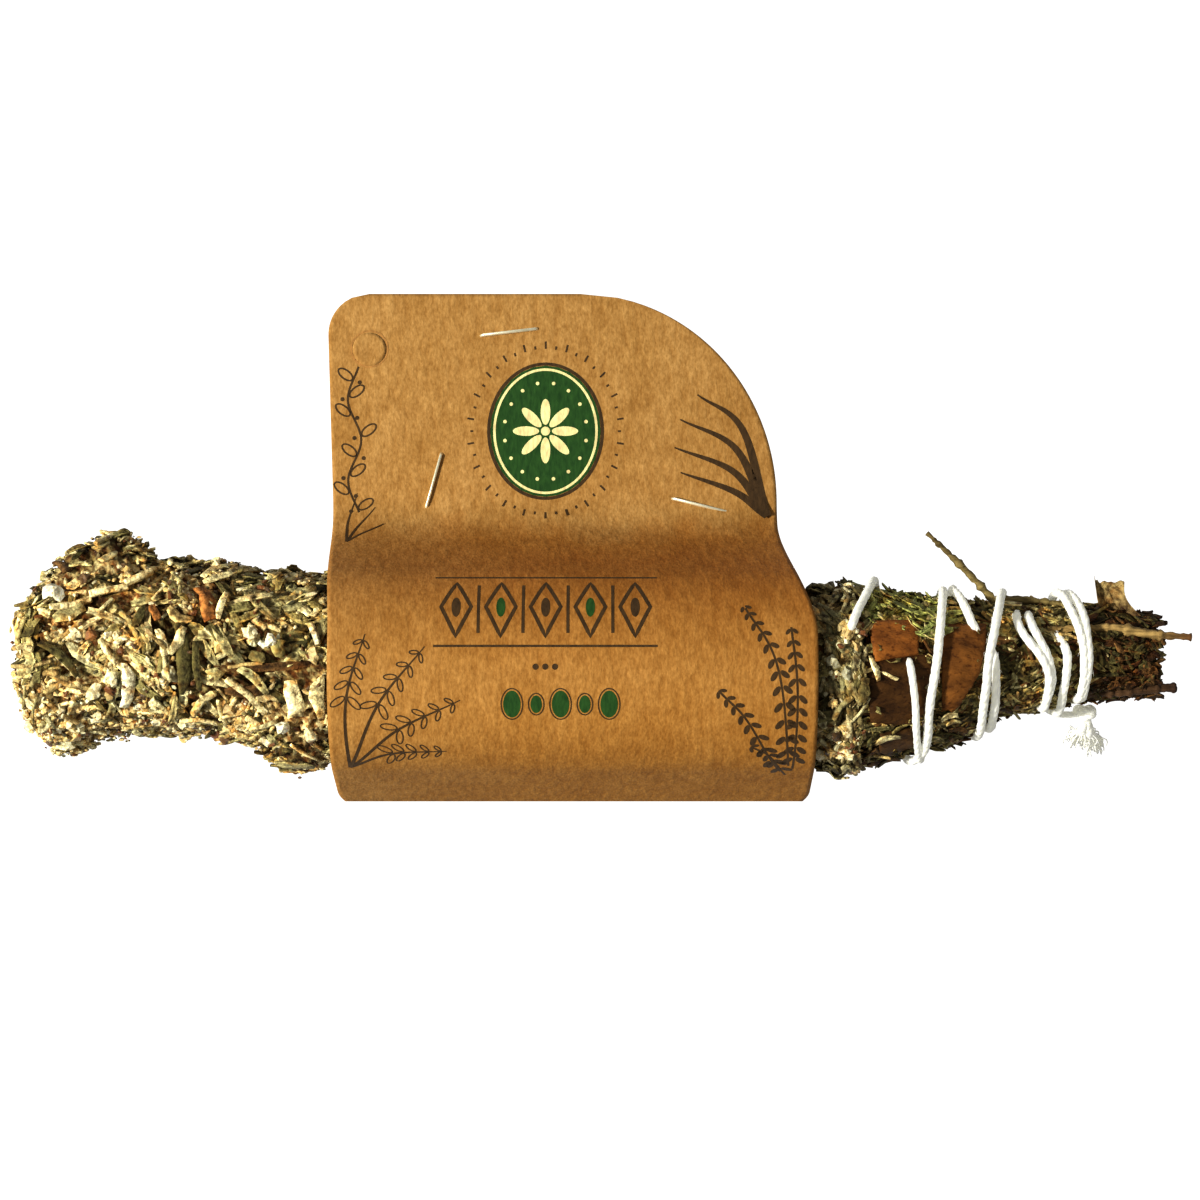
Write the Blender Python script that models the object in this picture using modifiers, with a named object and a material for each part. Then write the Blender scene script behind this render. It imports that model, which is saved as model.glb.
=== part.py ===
"""Sage smudge stick: dried stems in a crust of crumbled sage and resin, a string-tied handle
and a folded kraft card stapled round the middle. It lies on its card, with the card's header flat.

The stick lies along X, burning end at -X, and the header points to +Y. Sizes are in millimetres and
become metres where a mesh is made. The origin is the middle of the flat spot that the stick rests on.
An angle round the stick is in degrees: 0 at +Y, 90 on top, 180 at -Y and 270 underneath.
"""

import math
import random

import bmesh
import bpy
from mathutils import Matrix, Vector, noise

MM = 0.001
SEED = 25
SHARP_ANGLE = 40.0

# Driving dimensions, in millimetres
STICK_START = -98.7
STICK_END = 99.2
AXIS_HEIGHT = 18.3
GAP = 0.3

CRUST_END = 43.5
CRUST_BODY_RADIUS = 14.2
CRUST_BORE_RADIUS = 11.5
CRUST_CAP = 6.0
CRUST_FLOOR = 0.85
CRUST_LIMIT_IN_CARD = 17.4
CHIP_ROOT = 1.4

MAT_START = 44.2
MAT_END = 90.0
MAT_WALL = 1.0
MAT_RELIEF = 2.4
BLADE_THICKNESS = 0.7
STRING_RADIUS = 0.8
BARK_THICKNESS = 1.0
CURL_THICKNESS = 0.62
STEM_ENDS = (90.0, 96.5)
STEM_WANDER = 0.2

CARD_THICKNESS = 0.45
CARD_LEFT = -44.9
CARD_RIGHT = 35.9
CARD_FOLD = (-22.8, 9.0)
CARD_NECK = (24.8, 5.9)
CARD_TOP = (65.4, 0.8)
CARD_WRAP_RADIUS = 18.1
CARD_FLAT_HALF = 6.0
CARD_FOLD_RADIUS = 0.9
HEADER_CORNER = 7.4
# The header's right side is a quarter of an ellipse: where it starts along y, its middle and its width in x
HEADER_ROUND_START = 29.0
HEADER_ROUND_MIDDLE = -3.5
HEADER_ROUND_WIDTH = 34.2

STAPLE_CROWN = 9.8
STAPLE_WIRE = 0.5
STAPLE_LEG_BEND = 3.6
STAPLE_SLOT = 0.95
# Each staple: the middle of its crown across (x) and along the header (y), and its turn in the header
STAPLES = ((-15.9, 58.6, 7.0), (-28.9, 32.5, 75.0), (17.4, 28.2, -14.0))
PUNCH_CENTRE = (-40.3, 55.6)
PUNCH_RADIUS = 3.2
SCORE_WIDTH = 0.4
SCORE_DEPTH = 0.2

# Colours are what the photograph shows, in linear light
HERB_CRUST = ((0.30, 0.23, 0.11), 0.85, 0.0)
HERB_LEAF = ((0.10, 0.09, 0.035), 0.8, 0.0)
STEM_WOOD = ((0.16, 0.11, 0.05), 0.8, 0.0)
TWIG_WOOD = ((0.20, 0.12, 0.05), 0.75, 0.0)
DRY_LEAF = ((0.42, 0.28, 0.12), 0.7, 0.0)
BARK = ((0.22, 0.085, 0.03), 0.65, 0.0)
COTTON = ((0.82, 0.80, 0.70), 0.9, 0.0)
KRAFT = ((0.47, 0.25, 0.09), 0.85, 0.0)
STEEL = ((0.62, 0.60, 0.52), 0.3, 1.0)


def smooth_between(x, knots):
    """The height at x of a smooth line through knots, which are (x, height) from left to right."""
    if x <= knots[0][0]:
        return knots[0][1]
    for (x0, y0), (x1, y1) in zip(knots, knots[1:]):
        if x <= x1:
            t = (x - x0) / (x1 - x0)
            return y0 + (y1 - y0) * t * t * (3 - 2 * t)
    return knots[-1][1]


def axis_y(x):
    """The bundle is not quite straight: its middle swings across between the crust and the tie."""
    knots = ((-95, 2.5), (-78, 3.6), (-62, 3.2), (-47, 0.9), (-10, 0.0), (30, -0.8), (44, -1.3), (58, -0.6))
    return smooth_between(x, (*knots, (69, 1.9), (84, 2.9), (95, 2.5)))


def mat_radius(x):
    """Outside of the pressed leaf mat that the leaves of the handle stand out of."""
    return smooth_between(x, ((43, 13.4), (58, 10.7), (68, 7.9), (84, 6.5), (94, 5.4)))


def stem_ring_scale(x):
    """How far the stems are drawn together, from 1 in the crust to the tie."""
    return smooth_between(x, ((30, 1.0), (44, 1.02), (58, 0.78), (68, 0.55), (84, 0.41), (92, 0.36)))


def on_bundle(x, angle, radius):
    """A point at this angle in degrees and radius in millimetres round the bundle's middle."""
    turn = math.radians(angle)
    return Vector((x, axis_y(x) + radius * math.cos(turn), AXIS_HEIGHT + radius * math.sin(turn)))


# The crust's clumps and hollows: middle along X, angle, height, half length, half angle
CLUMPS = (
    (-82.5, 4.0, 6.0, 6.0, 26.0),
    (-90.0, 186.0, 2.4, 5.0, 30.0),
    (-96.0, 120.0, 1.2, 6.0, 50.0),
    (-52.5, 190.0, 3.4, 6.5, 36.0),
    (-45.0, 150.0, 1.6, 14.0, 70.0),
    (-57.5, 4.0, -1.4, 3.0, 26.0),
    (-64.0, 95.0, 0.8, 8.0, 35.0),
    (-30.0, 300.0, 1.0, 30.0, 60.0),
    (0.0, 90.0, 1.2, 50.0, 70.0),
    (42.0, 180.0, 2.0, 7.0, 60.0),
    (42.0, 50.0, 1.2, 6.0, 50.0),
)


def angle_between(a, b):
    return abs((a - b + 180.0) % 360.0 - 180.0)


def crust_radius(x, angle):
    """Outer radius of the crust's body: round, with clumps and uneven all over."""
    turn = math.radians(angle)
    spot = Vector((x * 0.11, 2.1 * math.cos(turn), 2.1 * math.sin(turn)))
    radius = CRUST_BODY_RADIUS + 0.75 * noise.noise(spot)
    for middle, at, height, half_length, half_angle in CLUMPS:
        along = (x - middle) / half_length
        around = angle_between(angle, at) / half_angle
        radius += height * math.exp(-along * along - around * around)
    return radius


def kept_inside(point):
    """The crust is pressed flat where it lies, and kept clear of the card and of the handle's leaves."""
    y, z = point.y, point.z - AXIS_HEIGHT
    reach = math.hypot(y, z)
    if CARD_LEFT - 5 < point.x < CARD_RIGHT + 3 and reach > CRUST_LIMIT_IN_CARD:
        y, z = y * CRUST_LIMIT_IN_CARD / reach, z * CRUST_LIMIT_IN_CARD / reach
    return Vector((min(point.x, CRUST_END + GAP), y, max(z + AXIS_HEIGHT, CRUST_FLOOR)))


def material(name, finish):
    colour, roughness, metallic = finish
    made = bpy.data.materials.get(name) or bpy.data.materials.new(name)
    made.use_nodes = True
    shader = made.node_tree.nodes["Principled BSDF"]
    shader.inputs["Base Color"].default_value = (*colour, 1.0)
    shader.inputs["Roughness"].default_value = roughness
    shader.inputs["Metallic"].default_value = metallic
    made.diffuse_color = (*colour, 1.0)
    return made


def add_object(name, data, home, finish=None):
    obj = bpy.data.objects.new(name, data)
    home.objects.link(obj)
    if finish:
        data.materials.clear()
        data.materials.append(material(*finish))
    return obj


def mesh_from(name, points, faces):
    mesh = bpy.data.meshes.new(name)
    mesh.from_pydata([Vector(p) * MM for p in points], [], faces)
    mesh.update()
    return mesh


def solid_object(name, shape, home):
    """An object from a closed bmesh, turned the right way out if its volume says that it is inside out."""
    bmesh.ops.recalc_face_normals(shape, faces=shape.faces)
    if shape.calc_volume(signed=True) < 0:
        bmesh.ops.reverse_faces(shape, faces=shape.faces)
    mesh = bpy.data.meshes.new(name)
    shape.to_mesh(mesh)
    shape.free()
    return add_object(name, mesh, home)


def solid_from(name, points, faces, home):
    """A closed solid from points in millimetres, its bent quads split so that they can't cross."""
    shape = bmesh.new()
    verts = [shape.verts.new(Vector(p) * MM) for p in points]
    for face in faces:
        shape.faces.new([verts[k] for k in face])
    bmesh.ops.triangulate(shape, faces=shape.faces)
    return solid_object(name, shape, home)


def baked(obj, weld=0.01):
    """The object as a plain mesh: modifiers applied, caps welded within weld mm, normals outward."""
    bpy.context.view_layer.update()
    graph = bpy.context.evaluated_depsgraph_get()
    mesh = bpy.data.meshes.new_from_object(obj.evaluated_get(graph))
    shape = bmesh.new()
    shape.from_mesh(mesh)
    if weld:
        bmesh.ops.remove_doubles(shape, verts=shape.verts, dist=weld * MM)
        bmesh.ops.recalc_face_normals(shape, faces=shape.faces)
    shape.to_mesh(mesh)
    shape.free()
    name, matrix, homes = obj.name, obj.matrix_world.copy(), list(obj.users_collection)
    bpy.data.objects.remove(obj)
    made = bpy.data.objects.new(name, mesh)
    made.matrix_world = matrix
    for home in homes:
        home.objects.link(made)
    return made


def tube(name, points, radii, home, finish, sides=6):
    """A round rod through points, with a radius at each, as a curve with filled caps."""
    curve = bpy.data.curves.new(name, "CURVE")
    curve.dimensions = "3D"
    curve.bevel_depth = MM
    curve.bevel_resolution = (sides - 4) // 2
    curve.use_fill_caps = True
    spline = curve.splines.new("POLY")
    spline.points.add(len(points) - 1)
    for place, point, radius in zip(spline.points, points, radii):
        place.co = (*(Vector(point) * MM), 1.0)
        place.radius = radius
    return add_object(name, curve, home, finish)


def turned(name, profile, steps, home):
    """A profile of (x, radius) points turned round the X axis."""
    points = [(x, 0.0, radius) for x, radius in profile]
    edges = [(i, i + 1) for i in range(len(points) - 1)]
    mesh = bpy.data.meshes.new(name)
    mesh.from_pydata([Vector(p) * MM for p in points], edges, [])
    obj = add_object(name, mesh, home)
    screw = obj.modifiers.new("Turn", "SCREW")
    screw.axis = "X"
    screw.steps = screw.render_steps = steps
    screw.use_merge_vertices = True
    screw.merge_threshold = 0.00001
    return baked(obj)


def boolean(base, operation, others, solver="MANIFOLD"):
    """Joins others to base, or cuts them from it, applies it and removes them."""
    group = bpy.data.collections.new("operands")
    bpy.context.scene.collection.children.link(group)
    for other in others:
        for home in list(other.users_collection):
            home.objects.unlink(other)
        group.objects.link(other)
    step = base.modifiers.new(operation, "BOOLEAN")
    step.operation = operation
    step.operand_type = "COLLECTION"
    step.collection = group
    step.solver = solver
    made = baked(base, weld=0.0)
    for other in list(group.objects):
        bpy.data.objects.remove(other)
    bpy.data.collections.remove(group)
    return made


def drop_scraps(obj):
    """Splits a joined mesh into triangles, keeps its largest body and drops the loose scraps."""
    shape = bmesh.new()
    shape.from_mesh(obj.data)
    bmesh.ops.triangulate(shape, faces=shape.faces)
    unseen = set(shape.faces)
    bodies = []
    while unseen:
        stack, body = [unseen.pop()], []
        while stack:
            face = stack.pop()
            body.append(face)
            for edge in face.edges:
                for other in edge.link_faces:
                    if other in unseen:
                        unseen.discard(other)
                        stack.append(other)
        bodies.append(body)
    bodies.sort(key=len, reverse=True)
    for body in bodies[1:]:
        bmesh.ops.delete(shape, geom=body, context="FACES")
    shape.to_mesh(obj.data)
    shape.free()
    return obj


def finished(obj, name, finish, smooth=False):
    obj.name = obj.data.name = name
    if smooth:
        obj.data.shade_smooth()
        obj.data.set_sharp_from_angle(angle=math.radians(SHARP_ANGLE))
    obj.data.materials.clear()
    obj.data.materials.append(material(*finish))
    return obj


# Herb and resin crust


def crust_body(home):
    """A thick-walled sleeve round the stems, open at the handle and closed at the burning end."""
    outer = [(STICK_START + 1.0, 0.0), (STICK_START + 1.0, 5.5), (STICK_START + 2.6, 11.0)]
    outer += [(x, CRUST_BODY_RADIUS) for x in (-93.5, -88.0, -82.5, -77.0, -71.5, -66.0, -60.5, -55.0)]
    outer += [(x, CRUST_BODY_RADIUS) for x in (-49.5, -40.0, -15.0, 10.0, 30.0, 38.0, CRUST_END)]
    bore_end = STICK_START + CRUST_CAP
    inner = [(CRUST_END, CRUST_BORE_RADIUS + 1.2), (bore_end, CRUST_BORE_RADIUS), (bore_end, 0.0)]
    body = turned("crust_body", outer + inner, 22, home)
    for vert in body.data.vertices:
        x, y, z = vert.co / MM
        radius = math.hypot(y, z)
        angle = math.degrees(math.atan2(z, y))
        bore = radius < CRUST_BORE_RADIUS + 1.25 and x > bore_end - 0.1
        if not bore and radius > 0.1:
            radius += (crust_radius(x, angle) - CRUST_BODY_RADIUS) * min(1.0, radius / 11.0)
        place = on_bundle(x, angle, radius)
        if not bore:
            place = kept_inside(place)
        vert.co = place * MM
    return body


def chip(rng, x, angle, home):
    """One crumbled piece, rooted in the crust: a flat flake, a bit of stalk or a grain of resin."""
    kind = rng.random()
    if kind < 0.45:
        length, width, rise = rng.uniform(4.5, 8.0), rng.uniform(2.4, 3.6), rng.uniform(1.2, 2.1)
    elif kind < 0.8:
        length, width, rise = rng.uniform(6.5, 10.0), rng.uniform(1.6, 2.2), rng.uniform(1.5, 2.4)
    else:
        length, width, rise = rng.uniform(3.0, 4.4), rng.uniform(2.8, 3.8), rng.uniform(2.0, 2.9)
    shape = bmesh.new()
    bmesh.ops.create_cube(shape, size=1.0)
    turn = rng.uniform(0, math.pi)
    radius = crust_radius(x, angle)
    for vert in shape.verts:
        along = vert.co.x * length * rng.uniform(0.7, 1.0)
        over = vert.co.y * width * rng.uniform(0.6, 1.0)
        dx = along * math.cos(turn) - over * math.sin(turn)
        around = angle + math.degrees((along * math.sin(turn) + over * math.cos(turn)) / radius)
        if vert.co.z > 0:
            reach = crust_radius(x + dx, around) + rise * rng.uniform(0.45, 1.0)
        else:
            reach = max(radius - CHIP_ROOT, CRUST_BORE_RADIUS + 1.0)
        vert.co = kept_inside(on_bundle(x + dx, around, reach)) * MM
    return solid_object("chip", shape, home)


def end_chip(rng, distance, angle, home):
    """A crumb on the closed end of the crust."""
    shape = bmesh.new()
    bmesh.ops.create_cube(shape, size=1.0)
    size = Vector((rng.uniform(1.8, 2.6), rng.uniform(2.4, 5.5), rng.uniform(2.0, 3.2)))
    turn = Matrix.Rotation(rng.uniform(0, math.pi), 3, "X") @ Matrix.Rotation(rng.uniform(-0.3, 0.3), 3, "Y")
    middle = on_bundle(STICK_START + 1.2, angle, distance)
    for vert in shape.verts:
        wild = Vector(rng.uniform(0.6, 1.0) for _ in range(3))
        place = middle + turn @ Vector(c * s * w for c, s, w in zip(vert.co, size, wild))
        vert.co = kept_inside(place) * MM
    return solid_object("chip", shape, home)


def herb_crust(home, string_path):
    """The crust with its chips fused on: dense where it shows, sparse under the card."""
    rng = random.Random(SEED)
    chips = []
    # Each zone: from, to along X, rings of chips, chips in a ring
    zones = ((-94.0, -46.5, 10, 11), (-36.0, 27.0, 3, 5), (36.5, 40.5, 2, 8))
    for start, end, rings, around in zones:
        for ring in range(rings):
            x = start + (end - start) * (ring + 0.5) / rings
            for k in range(around):
                angle = 360.0 * (k + 0.5 * (ring % 2)) / around + rng.uniform(-8, 8)
                chips.append(chip(rng, x + rng.uniform(-1.6, 1.6), angle, home))
    for distance, count in ((1.0, 1), (6.0, 6), (10.5, 9)):
        for k in range(count):
            chips.append(end_chip(rng, distance, 360.0 * k / count + rng.uniform(-12, 12), home))
    crust = boolean(crust_body(home), "UNION", chips)
    groove = tube("groove", string_path, [STRING_RADIUS + GAP] * len(string_path), home, None, 6)
    crust = boolean(crust, "DIFFERENCE", [baked(groove)])
    return finished(drop_scraps(crust), "herb_crust", ("crumbled_herb", HERB_CRUST))


# Stems


def stem_path(rng, ring_radius, angle, end):
    """A stem's line: straight through the crust, drawn in at the tie, cut off at the handle's end."""
    stations = (STICK_START + CRUST_CAP + 0.6, -45.0, 5.0, 40.0, 50.0, 60.0, 70.0, 82.0, end)
    points, radii = [], []
    for x in stations:
        scale = stem_ring_scale(x)
        wander = Vector((0, rng.uniform(-1, 1), rng.uniform(-1, 1))) * STEM_WANDER * scale
        points.append(on_bundle(x, angle, ring_radius * scale) + wander)
        radii.append(0.42 + 0.85 * scale)
    return points, radii


def stems(home):
    """Nineteen stems: one in the middle, six round it and twelve outside."""
    rng = random.Random(SEED + 1)
    number = 0
    for ring, (count, ring_radius) in enumerate(((1, 0.0), (6, 5.0), (12, 9.6))):
        for k in range(count):
            number += 1
            angle = 360.0 * (k + 0.5 * (ring % 2)) / count
            points, radii = stem_path(rng, ring_radius, angle, rng.uniform(*STEM_ENDS))
            tube(f"stem_{number:02d}", points, radii, home, ("dry_stem", STEM_WOOD))


# Leaves pressed round the handle


def blade(x, angle, heading, length, width, lift, home):
    """An arched leaf blade laid on the leaf mat: its root is sunk in and its tip stands up by lift."""
    # Each station: share of the length, share of the width, height over the mat
    stations = ((0.0, 0.4, 0.1), (0.35, 1.0, 0.9 + 0.3 * lift))
    stations += ((0.75, 0.75, 0.6 + 0.6 * lift), (1.0, 0.15, lift))
    across = math.radians(heading)
    points = []
    for share, wide, height in stations:
        for side in (-1, 1):
            along, over = share * length, side * wide * width / 2
            px = x + along * math.cos(across) - over * math.sin(across)
            turn = (along * math.sin(across) + over * math.cos(across)) / mat_radius(x)
            for level in (-BLADE_THICKNESS, 0.0):
                reach = mat_radius(px) + min(height, MAT_RELIEF) + level
                points.append(on_bundle(px, angle + math.degrees(turn), reach))
    faces = [(0, 1, 3, 2), (12, 14, 15, 13)]
    for row in range(0, 12, 4):
        a, b, c, d = row, row + 1, row + 2, row + 3
        faces += [(a, c, c + 4, a + 4), (b, b + 4, d + 4, d), (a, a + 4, b + 4, b), (c, d, d + 4, c + 4)]
    return solid_from("blade", points, faces, home)


def mat_body(home):
    """The mat is a thin sleeve of pressed leaves close round the stems."""
    stations = (MAT_START, 48.0, 52.0, 57.0, 62.0, 66.0, 70.0, 75.0, 80.0, MAT_END)
    outer = [(x, mat_radius(x)) for x in stations]
    inner = [(x, mat_radius(x) - MAT_WALL) for x in reversed(stations[::3])]
    body = turned("mat_body", outer + inner + outer[:1], 18, home)
    for vert in body.data.vertices:
        x, y, z = vert.co / MM
        vert.co = on_bundle(x, math.degrees(math.atan2(z, y)), math.hypot(y, z)) * MM
    return body


def handle_leaves(home, cutters):
    """Blades all over the handle, tips towards the burning end, then cut clear of bark and twigs."""
    rng = random.Random(SEED + 2)
    blades = []
    rings = 6
    for ring in range(rings):
        x = MAT_START + 9.5 + (MAT_END - MAT_START - 9.0) * ring / (rings - 1)
        around = round(mat_radius(x) * 0.85)
        for k in range(around):
            angle = 360.0 * (k + 0.5 * (ring % 2)) / around + rng.uniform(-8, 8)
            heading = 180.0 + rng.uniform(-38, 38)
            length = min(rng.uniform(9.0, 13.5), x - MAT_START - 1.5)
            width = rng.uniform(3.4, 5.0)
            lift = rng.uniform(1.2, MAT_RELIEF)
            blades.append(blade(min(x, MAT_END - 0.5), angle, heading, length, width, lift, home))
    # Ragged leaf ends past the tie, pointing out over the cut stems
    for k in range(9):
        angle = 40.0 * k + rng.uniform(-10, 10)
        length = rng.uniform(6.0, 9.5)
        blades.append(blade(MAT_END - 3.0, angle, rng.uniform(-14, 14), length, 3.4, 1.6, home))
    leaves = boolean(mat_body(home), "UNION", blades)
    leaves = boolean(leaves, "DIFFERENCE", cutters)
    return finished(drop_scraps(leaves), "handle_leaves", ("sage_leaf", HERB_LEAF))


# Bark chips held under the string

# Each chip: its outline as (x, angle) corners, in order
BARK_CHIPS = {
    "bark_chip_left": ((45.0, 52), (51.3, 48), (52.7, 51), (52.7, 74), (45.6, 78)),
    "bark_chip_mid": ((45.3, 83), (54.2, 78), (54.9, 94), (54.4, 115), (52.2, 123), (46.0, 116)),
    "bark_chip_right": ((57.0, 49), (64.4, 53), (64.2, 72), (63.2, 93), (59.6, 116), (57.1, 117)),
    "bark_chip_low": ((46.8, 130), (51.8, 132), (53.8, 141), (52.6, 153), (49.0, 157), (47.0, 147)),
}


def plate(name, outline, low, high, grow, home):
    """A slab bent round the handle: outline is (x, angle) corners, low and high its heights."""
    middle_x = sum(x for x, _ in outline) / len(outline)
    middle_angle = sum(a for _, a in outline) / len(outline)
    ring = []
    for x, angle in outline:
        dx, da = x - middle_x, angle - middle_angle
        reach = math.hypot(dx, math.radians(da) * mat_radius(middle_x))
        swell = 1.0 + grow / reach
        ring.append((middle_x + dx * swell, middle_angle + da * swell))
    # Sides are halved so that the slab follows the round handle
    edge = []
    for (x0, a0), (x1, a1) in zip(ring, ring[1:] + ring[:1]):
        edge += [(x0, a0), ((x0 + x1) / 2, (a0 + a1) / 2)]
    inner = [((x + middle_x) / 2, (a + middle_angle) / 2) for x, a in edge]
    flat = edge + inner + [(middle_x, middle_angle)]
    count = len(edge)
    points = [on_bundle(x, a, mat_radius(x) + h) for h in (low, high) for x, a in flat]
    faces = []
    for level, turn in ((0, -1), (1, 1)):
        base = level * len(flat)
        for k in range(count):
            n = (k + 1) % count
            faces.append((base + k, base + n, base + count + n, base + count + k)[::turn])
            faces.append((base + count + k, base + count + n, base + 2 * count)[::turn])
    top = len(flat)
    faces += [(k, (k + 1) % count, top + (k + 1) % count, top + k) for k in range(count)]
    return solid_from(name, points, faces, home)


def bark_chips(home):
    """Makes the chips, and gives a slightly larger cutter for each that clears the leaves under it."""
    low, top = MAT_RELIEF - BARK_THICKNESS, MAT_RELIEF
    cutters = []
    for name, outline in BARK_CHIPS.items():
        finished(plate(name, outline, low, top, 0.0, home), name, ("bark", BARK), smooth=True)
        cutters.append(plate(name + "_cutter", outline, low - GAP, top + 2.0, GAP, home))
    return cutters


# Twigs, a curled leaf and a bark sliver at the handle's end


def bedded(angle, stations):
    """The part of a twig that lies in the leaves: stations are (x, height over the mat)."""
    return [on_bundle(x, angle, mat_radius(x) + height) for x, height in stations]


def loose_twigs(home):
    """Makes three twigs caught under the string, and gives the cutter that beds each in the leaves."""
    spur = bedded(12.0, ((80.0, 1.4), (74.0, 1.5), (68.8, 1.5), (66.9, 1.6)))
    spur += [(64.2, 14.4, 20.8), (59.6, 19.0, 21.5), (55.2, 23.1, 22.0)]
    end_twig = bedded(58.0, ((75.0, 1.3), (82.0, 1.4), (87.0, 1.5)))
    end_twig += [(93.0, 6.0, 25.4), (STICK_END, 5.6, 25.4)]
    low_twig = bedded(150.0, ((77.0, 1.2), (83.0, 1.3), (88.0, 1.4)))
    low_twig += [(93.0, -3.2, 22.2), (97.3, -3.0, 21.8)]
    routes = {
        "twig_spur": (spur, (0.5, 0.7, 0.75, 0.75, 0.75, 0.65, 0.45)),
        "twig_end": (end_twig, (0.6, 0.8, 0.95, 0.9, 0.6)),
        "twig_low": (low_twig, (0.6, 0.8, 0.95, 1.0, 0.85)),
    }
    cutters = []
    for name, (points, radii) in routes.items():
        tube(name, points, radii, home, ("twig", TWIG_WOOD), sides=8)
        cutter = tube(name + "_cutter", points, [r + GAP for r in radii], home, None, sides=8)
        cutters.append(baked(cutter))
    return cutters


def curled_sheet(name, thickness, grow, home):
    """The blade of the curled leaf: cupped across, ragged at its tip, and grown by grow all round."""
    columns, rows = 5, 5
    points, faces = [], []
    for i in range(rows):
        rise = i / (rows - 1)
        for j in range(columns):
            side = 2 * j / (columns - 1) - 1
            width = 3.4 * (1.0 - 0.25 * rise) * (1.0 + 0.25 * rise * side) + grow
            ragged = 0.5 * noise.noise(Vector((i * 0.9, j * 1.3, 4.0)))
            x = 87.9 + side * width - 2.8 * rise
            y = 9.1 + 7.0 * rise + ragged + grow * (2 * rise - 1)
            z = 20.9 + 1.5 * side * side - 2.8 * rise * (1 - rise) + 1.2 * rise
            points.append((x, y, z))
    for i in range(rows - 1):
        for j in range(columns - 1):
            a = i * columns + j
            faces.append((a, a + 1, a + columns + 1, a + columns))
    sheet = add_object(name, mesh_from(name, points, faces), home)
    shell = sheet.modifiers.new("Thickness", "SOLIDIFY")
    shell.thickness = thickness * MM
    shell.offset = 0.0
    return baked(sheet)


def leaf_curl(home):
    """Makes a papery leaf that curls up off the handle's end, and gives the cutter that clears its root."""
    leaf = curled_sheet("leaf_curl", CURL_THICKNESS, 0.0, home)
    finished(leaf, "leaf_curl", ("dry_leaf", DRY_LEAF), smooth=True)
    return curled_sheet("leaf_curl_cutter", CURL_THICKNESS + 2 * GAP, GAP, home)


# Cotton string

# The winding as (angle, x): the angle falls turn by turn, from the tail in the crust to the knot
WINDING = (
    (72, 40.3), (50, 42.6), (28, 44.9), (0, 46.6), (-40, 48.0), (-90, 49.6), (-150, 51.8), (-180, 53.0),
    (-202, 54.2), (-249, 54.8), (-270, 55.4), (-315, 57.0), (-360, 58.3),
    (-390, 58.9), (-420, 63.5), (-450, 65.2), (-500, 65.9), (-540, 66.0),
    (-585, 66.0), (-625, 65.9), (-650, 64.8), (-674, 61.6), (-700, 60.5), (-720, 60.2),
    (-750, 60.6), (-780, 60.9), (-810, 61.6), (-855, 63.0), (-900, 63.9),
    (-945, 64.0), (-990, 64.2), (-1015, 65.6), (-1045, 67.2), (-1080, 68.3),
    (-1125, 69.4), (-1170, 70.8), (-1215, 72.6), (-1260, 74.2),
    (-1305, 74.8), (-1334, 75.0), (-1353, 74.3), (-1380, 71.6), (-1410, 70.6), (-1440, 70.3),
    (-1485, 71.2), (-1530, 72.8), (-1575, 74.8), (-1620, 76.1),
    (-1665, 76.7), (-1694, 76.8), (-1713, 76.2), (-1740, 73.8), (-1770, 72.7), (-1800, 72.3),
    (-1845, 73.2), (-1890, 74.8), (-1935, 76.8), (-1980, 78.0),
    (-2025, 78.5), (-2054, 78.6), (-2073, 78.2), (-2100, 76.2), (-2130, 74.9), (-2160, 74.3),
    (-2205, 75.2), (-2250, 76.8), (-2295, 78.7), (-2340, 79.9),
    (-2385, 80.4), (-2432, 80.3), (-2456, 79.3), (-2488, 77.4), (-2520, 76.3),
    (-2565, 77.2), (-2610, 78.8), (-2655, 80.7), (-2700, 81.8),
    (-2745, 82.2), (-2777, 82.3), (-2816, 81.3), (-2848, 79.4), (-2880, 78.3),
    (-2925, 79.4), (-2970, 81.2), (-3020, 82.6),
)
# Where the string passes over itself: the angle, how far it is lifted and over how many degrees each way
CROSSINGS = ((-763, 2.3, 48.0), (-1005, 2.3, 60.0))
STRING_STEP = 18.0


def crossing_lift(turn):
    lift = 0.0
    for at, height, reach in CROSSINGS:
        away = abs(turn + at) / reach
        if away < 1.0:
            lift += height * math.cos(away * math.pi / 2) ** 2
    return lift



def string_route():
    """Points of the winding every STRING_STEP degrees, on one smooth line through WINDING."""
    knots = [(-angle, x) for angle, x in WINDING]
    rest = STRING_RADIUS + GAP
    points = []
    turn = knots[0][0]
    while turn <= knots[-1][0]:
        x = catmull_rom(turn, knots)
        radius = mat_radius(x) + MAT_RELIEF + rest
        if x < CRUST_END + 1.2:
            radius = max(radius, crust_radius(x, -turn) + 1.4)
        points.append(on_bundle(x, -turn, radius + crossing_lift(turn)))
        turn += STRING_STEP
    return points


def catmull_rom(at, knots):
    """A smooth line through knots of (position, value), read at one position."""
    last = len(knots) - 1
    i = max(k for k in range(last) if knots[k][0] <= at)
    (t0, v0), (t1, v1) = knots[i], knots[i + 1]
    before = knots[max(i - 1, 0)]
    after = knots[min(i + 2, last)]
    slope_in = (v1 - before[1]) / (t1 - before[0])
    slope_out = (after[1] - v0) / (after[0] - t0)
    span = t1 - t0
    s = (at - t0) / span
    return (
        (2 * s**3 - 3 * s**2 + 1) * v0
        + (s**3 - 2 * s**2 + s) * span * slope_in
        + (-2 * s**3 + 3 * s**2) * v1
        + (s**3 - s**2) * span * slope_out
    )


def cotton_string(home, route):
    return tube("cotton_string", route, [STRING_RADIUS] * len(route), home, ("cotton", COTTON), sides=6)


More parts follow.
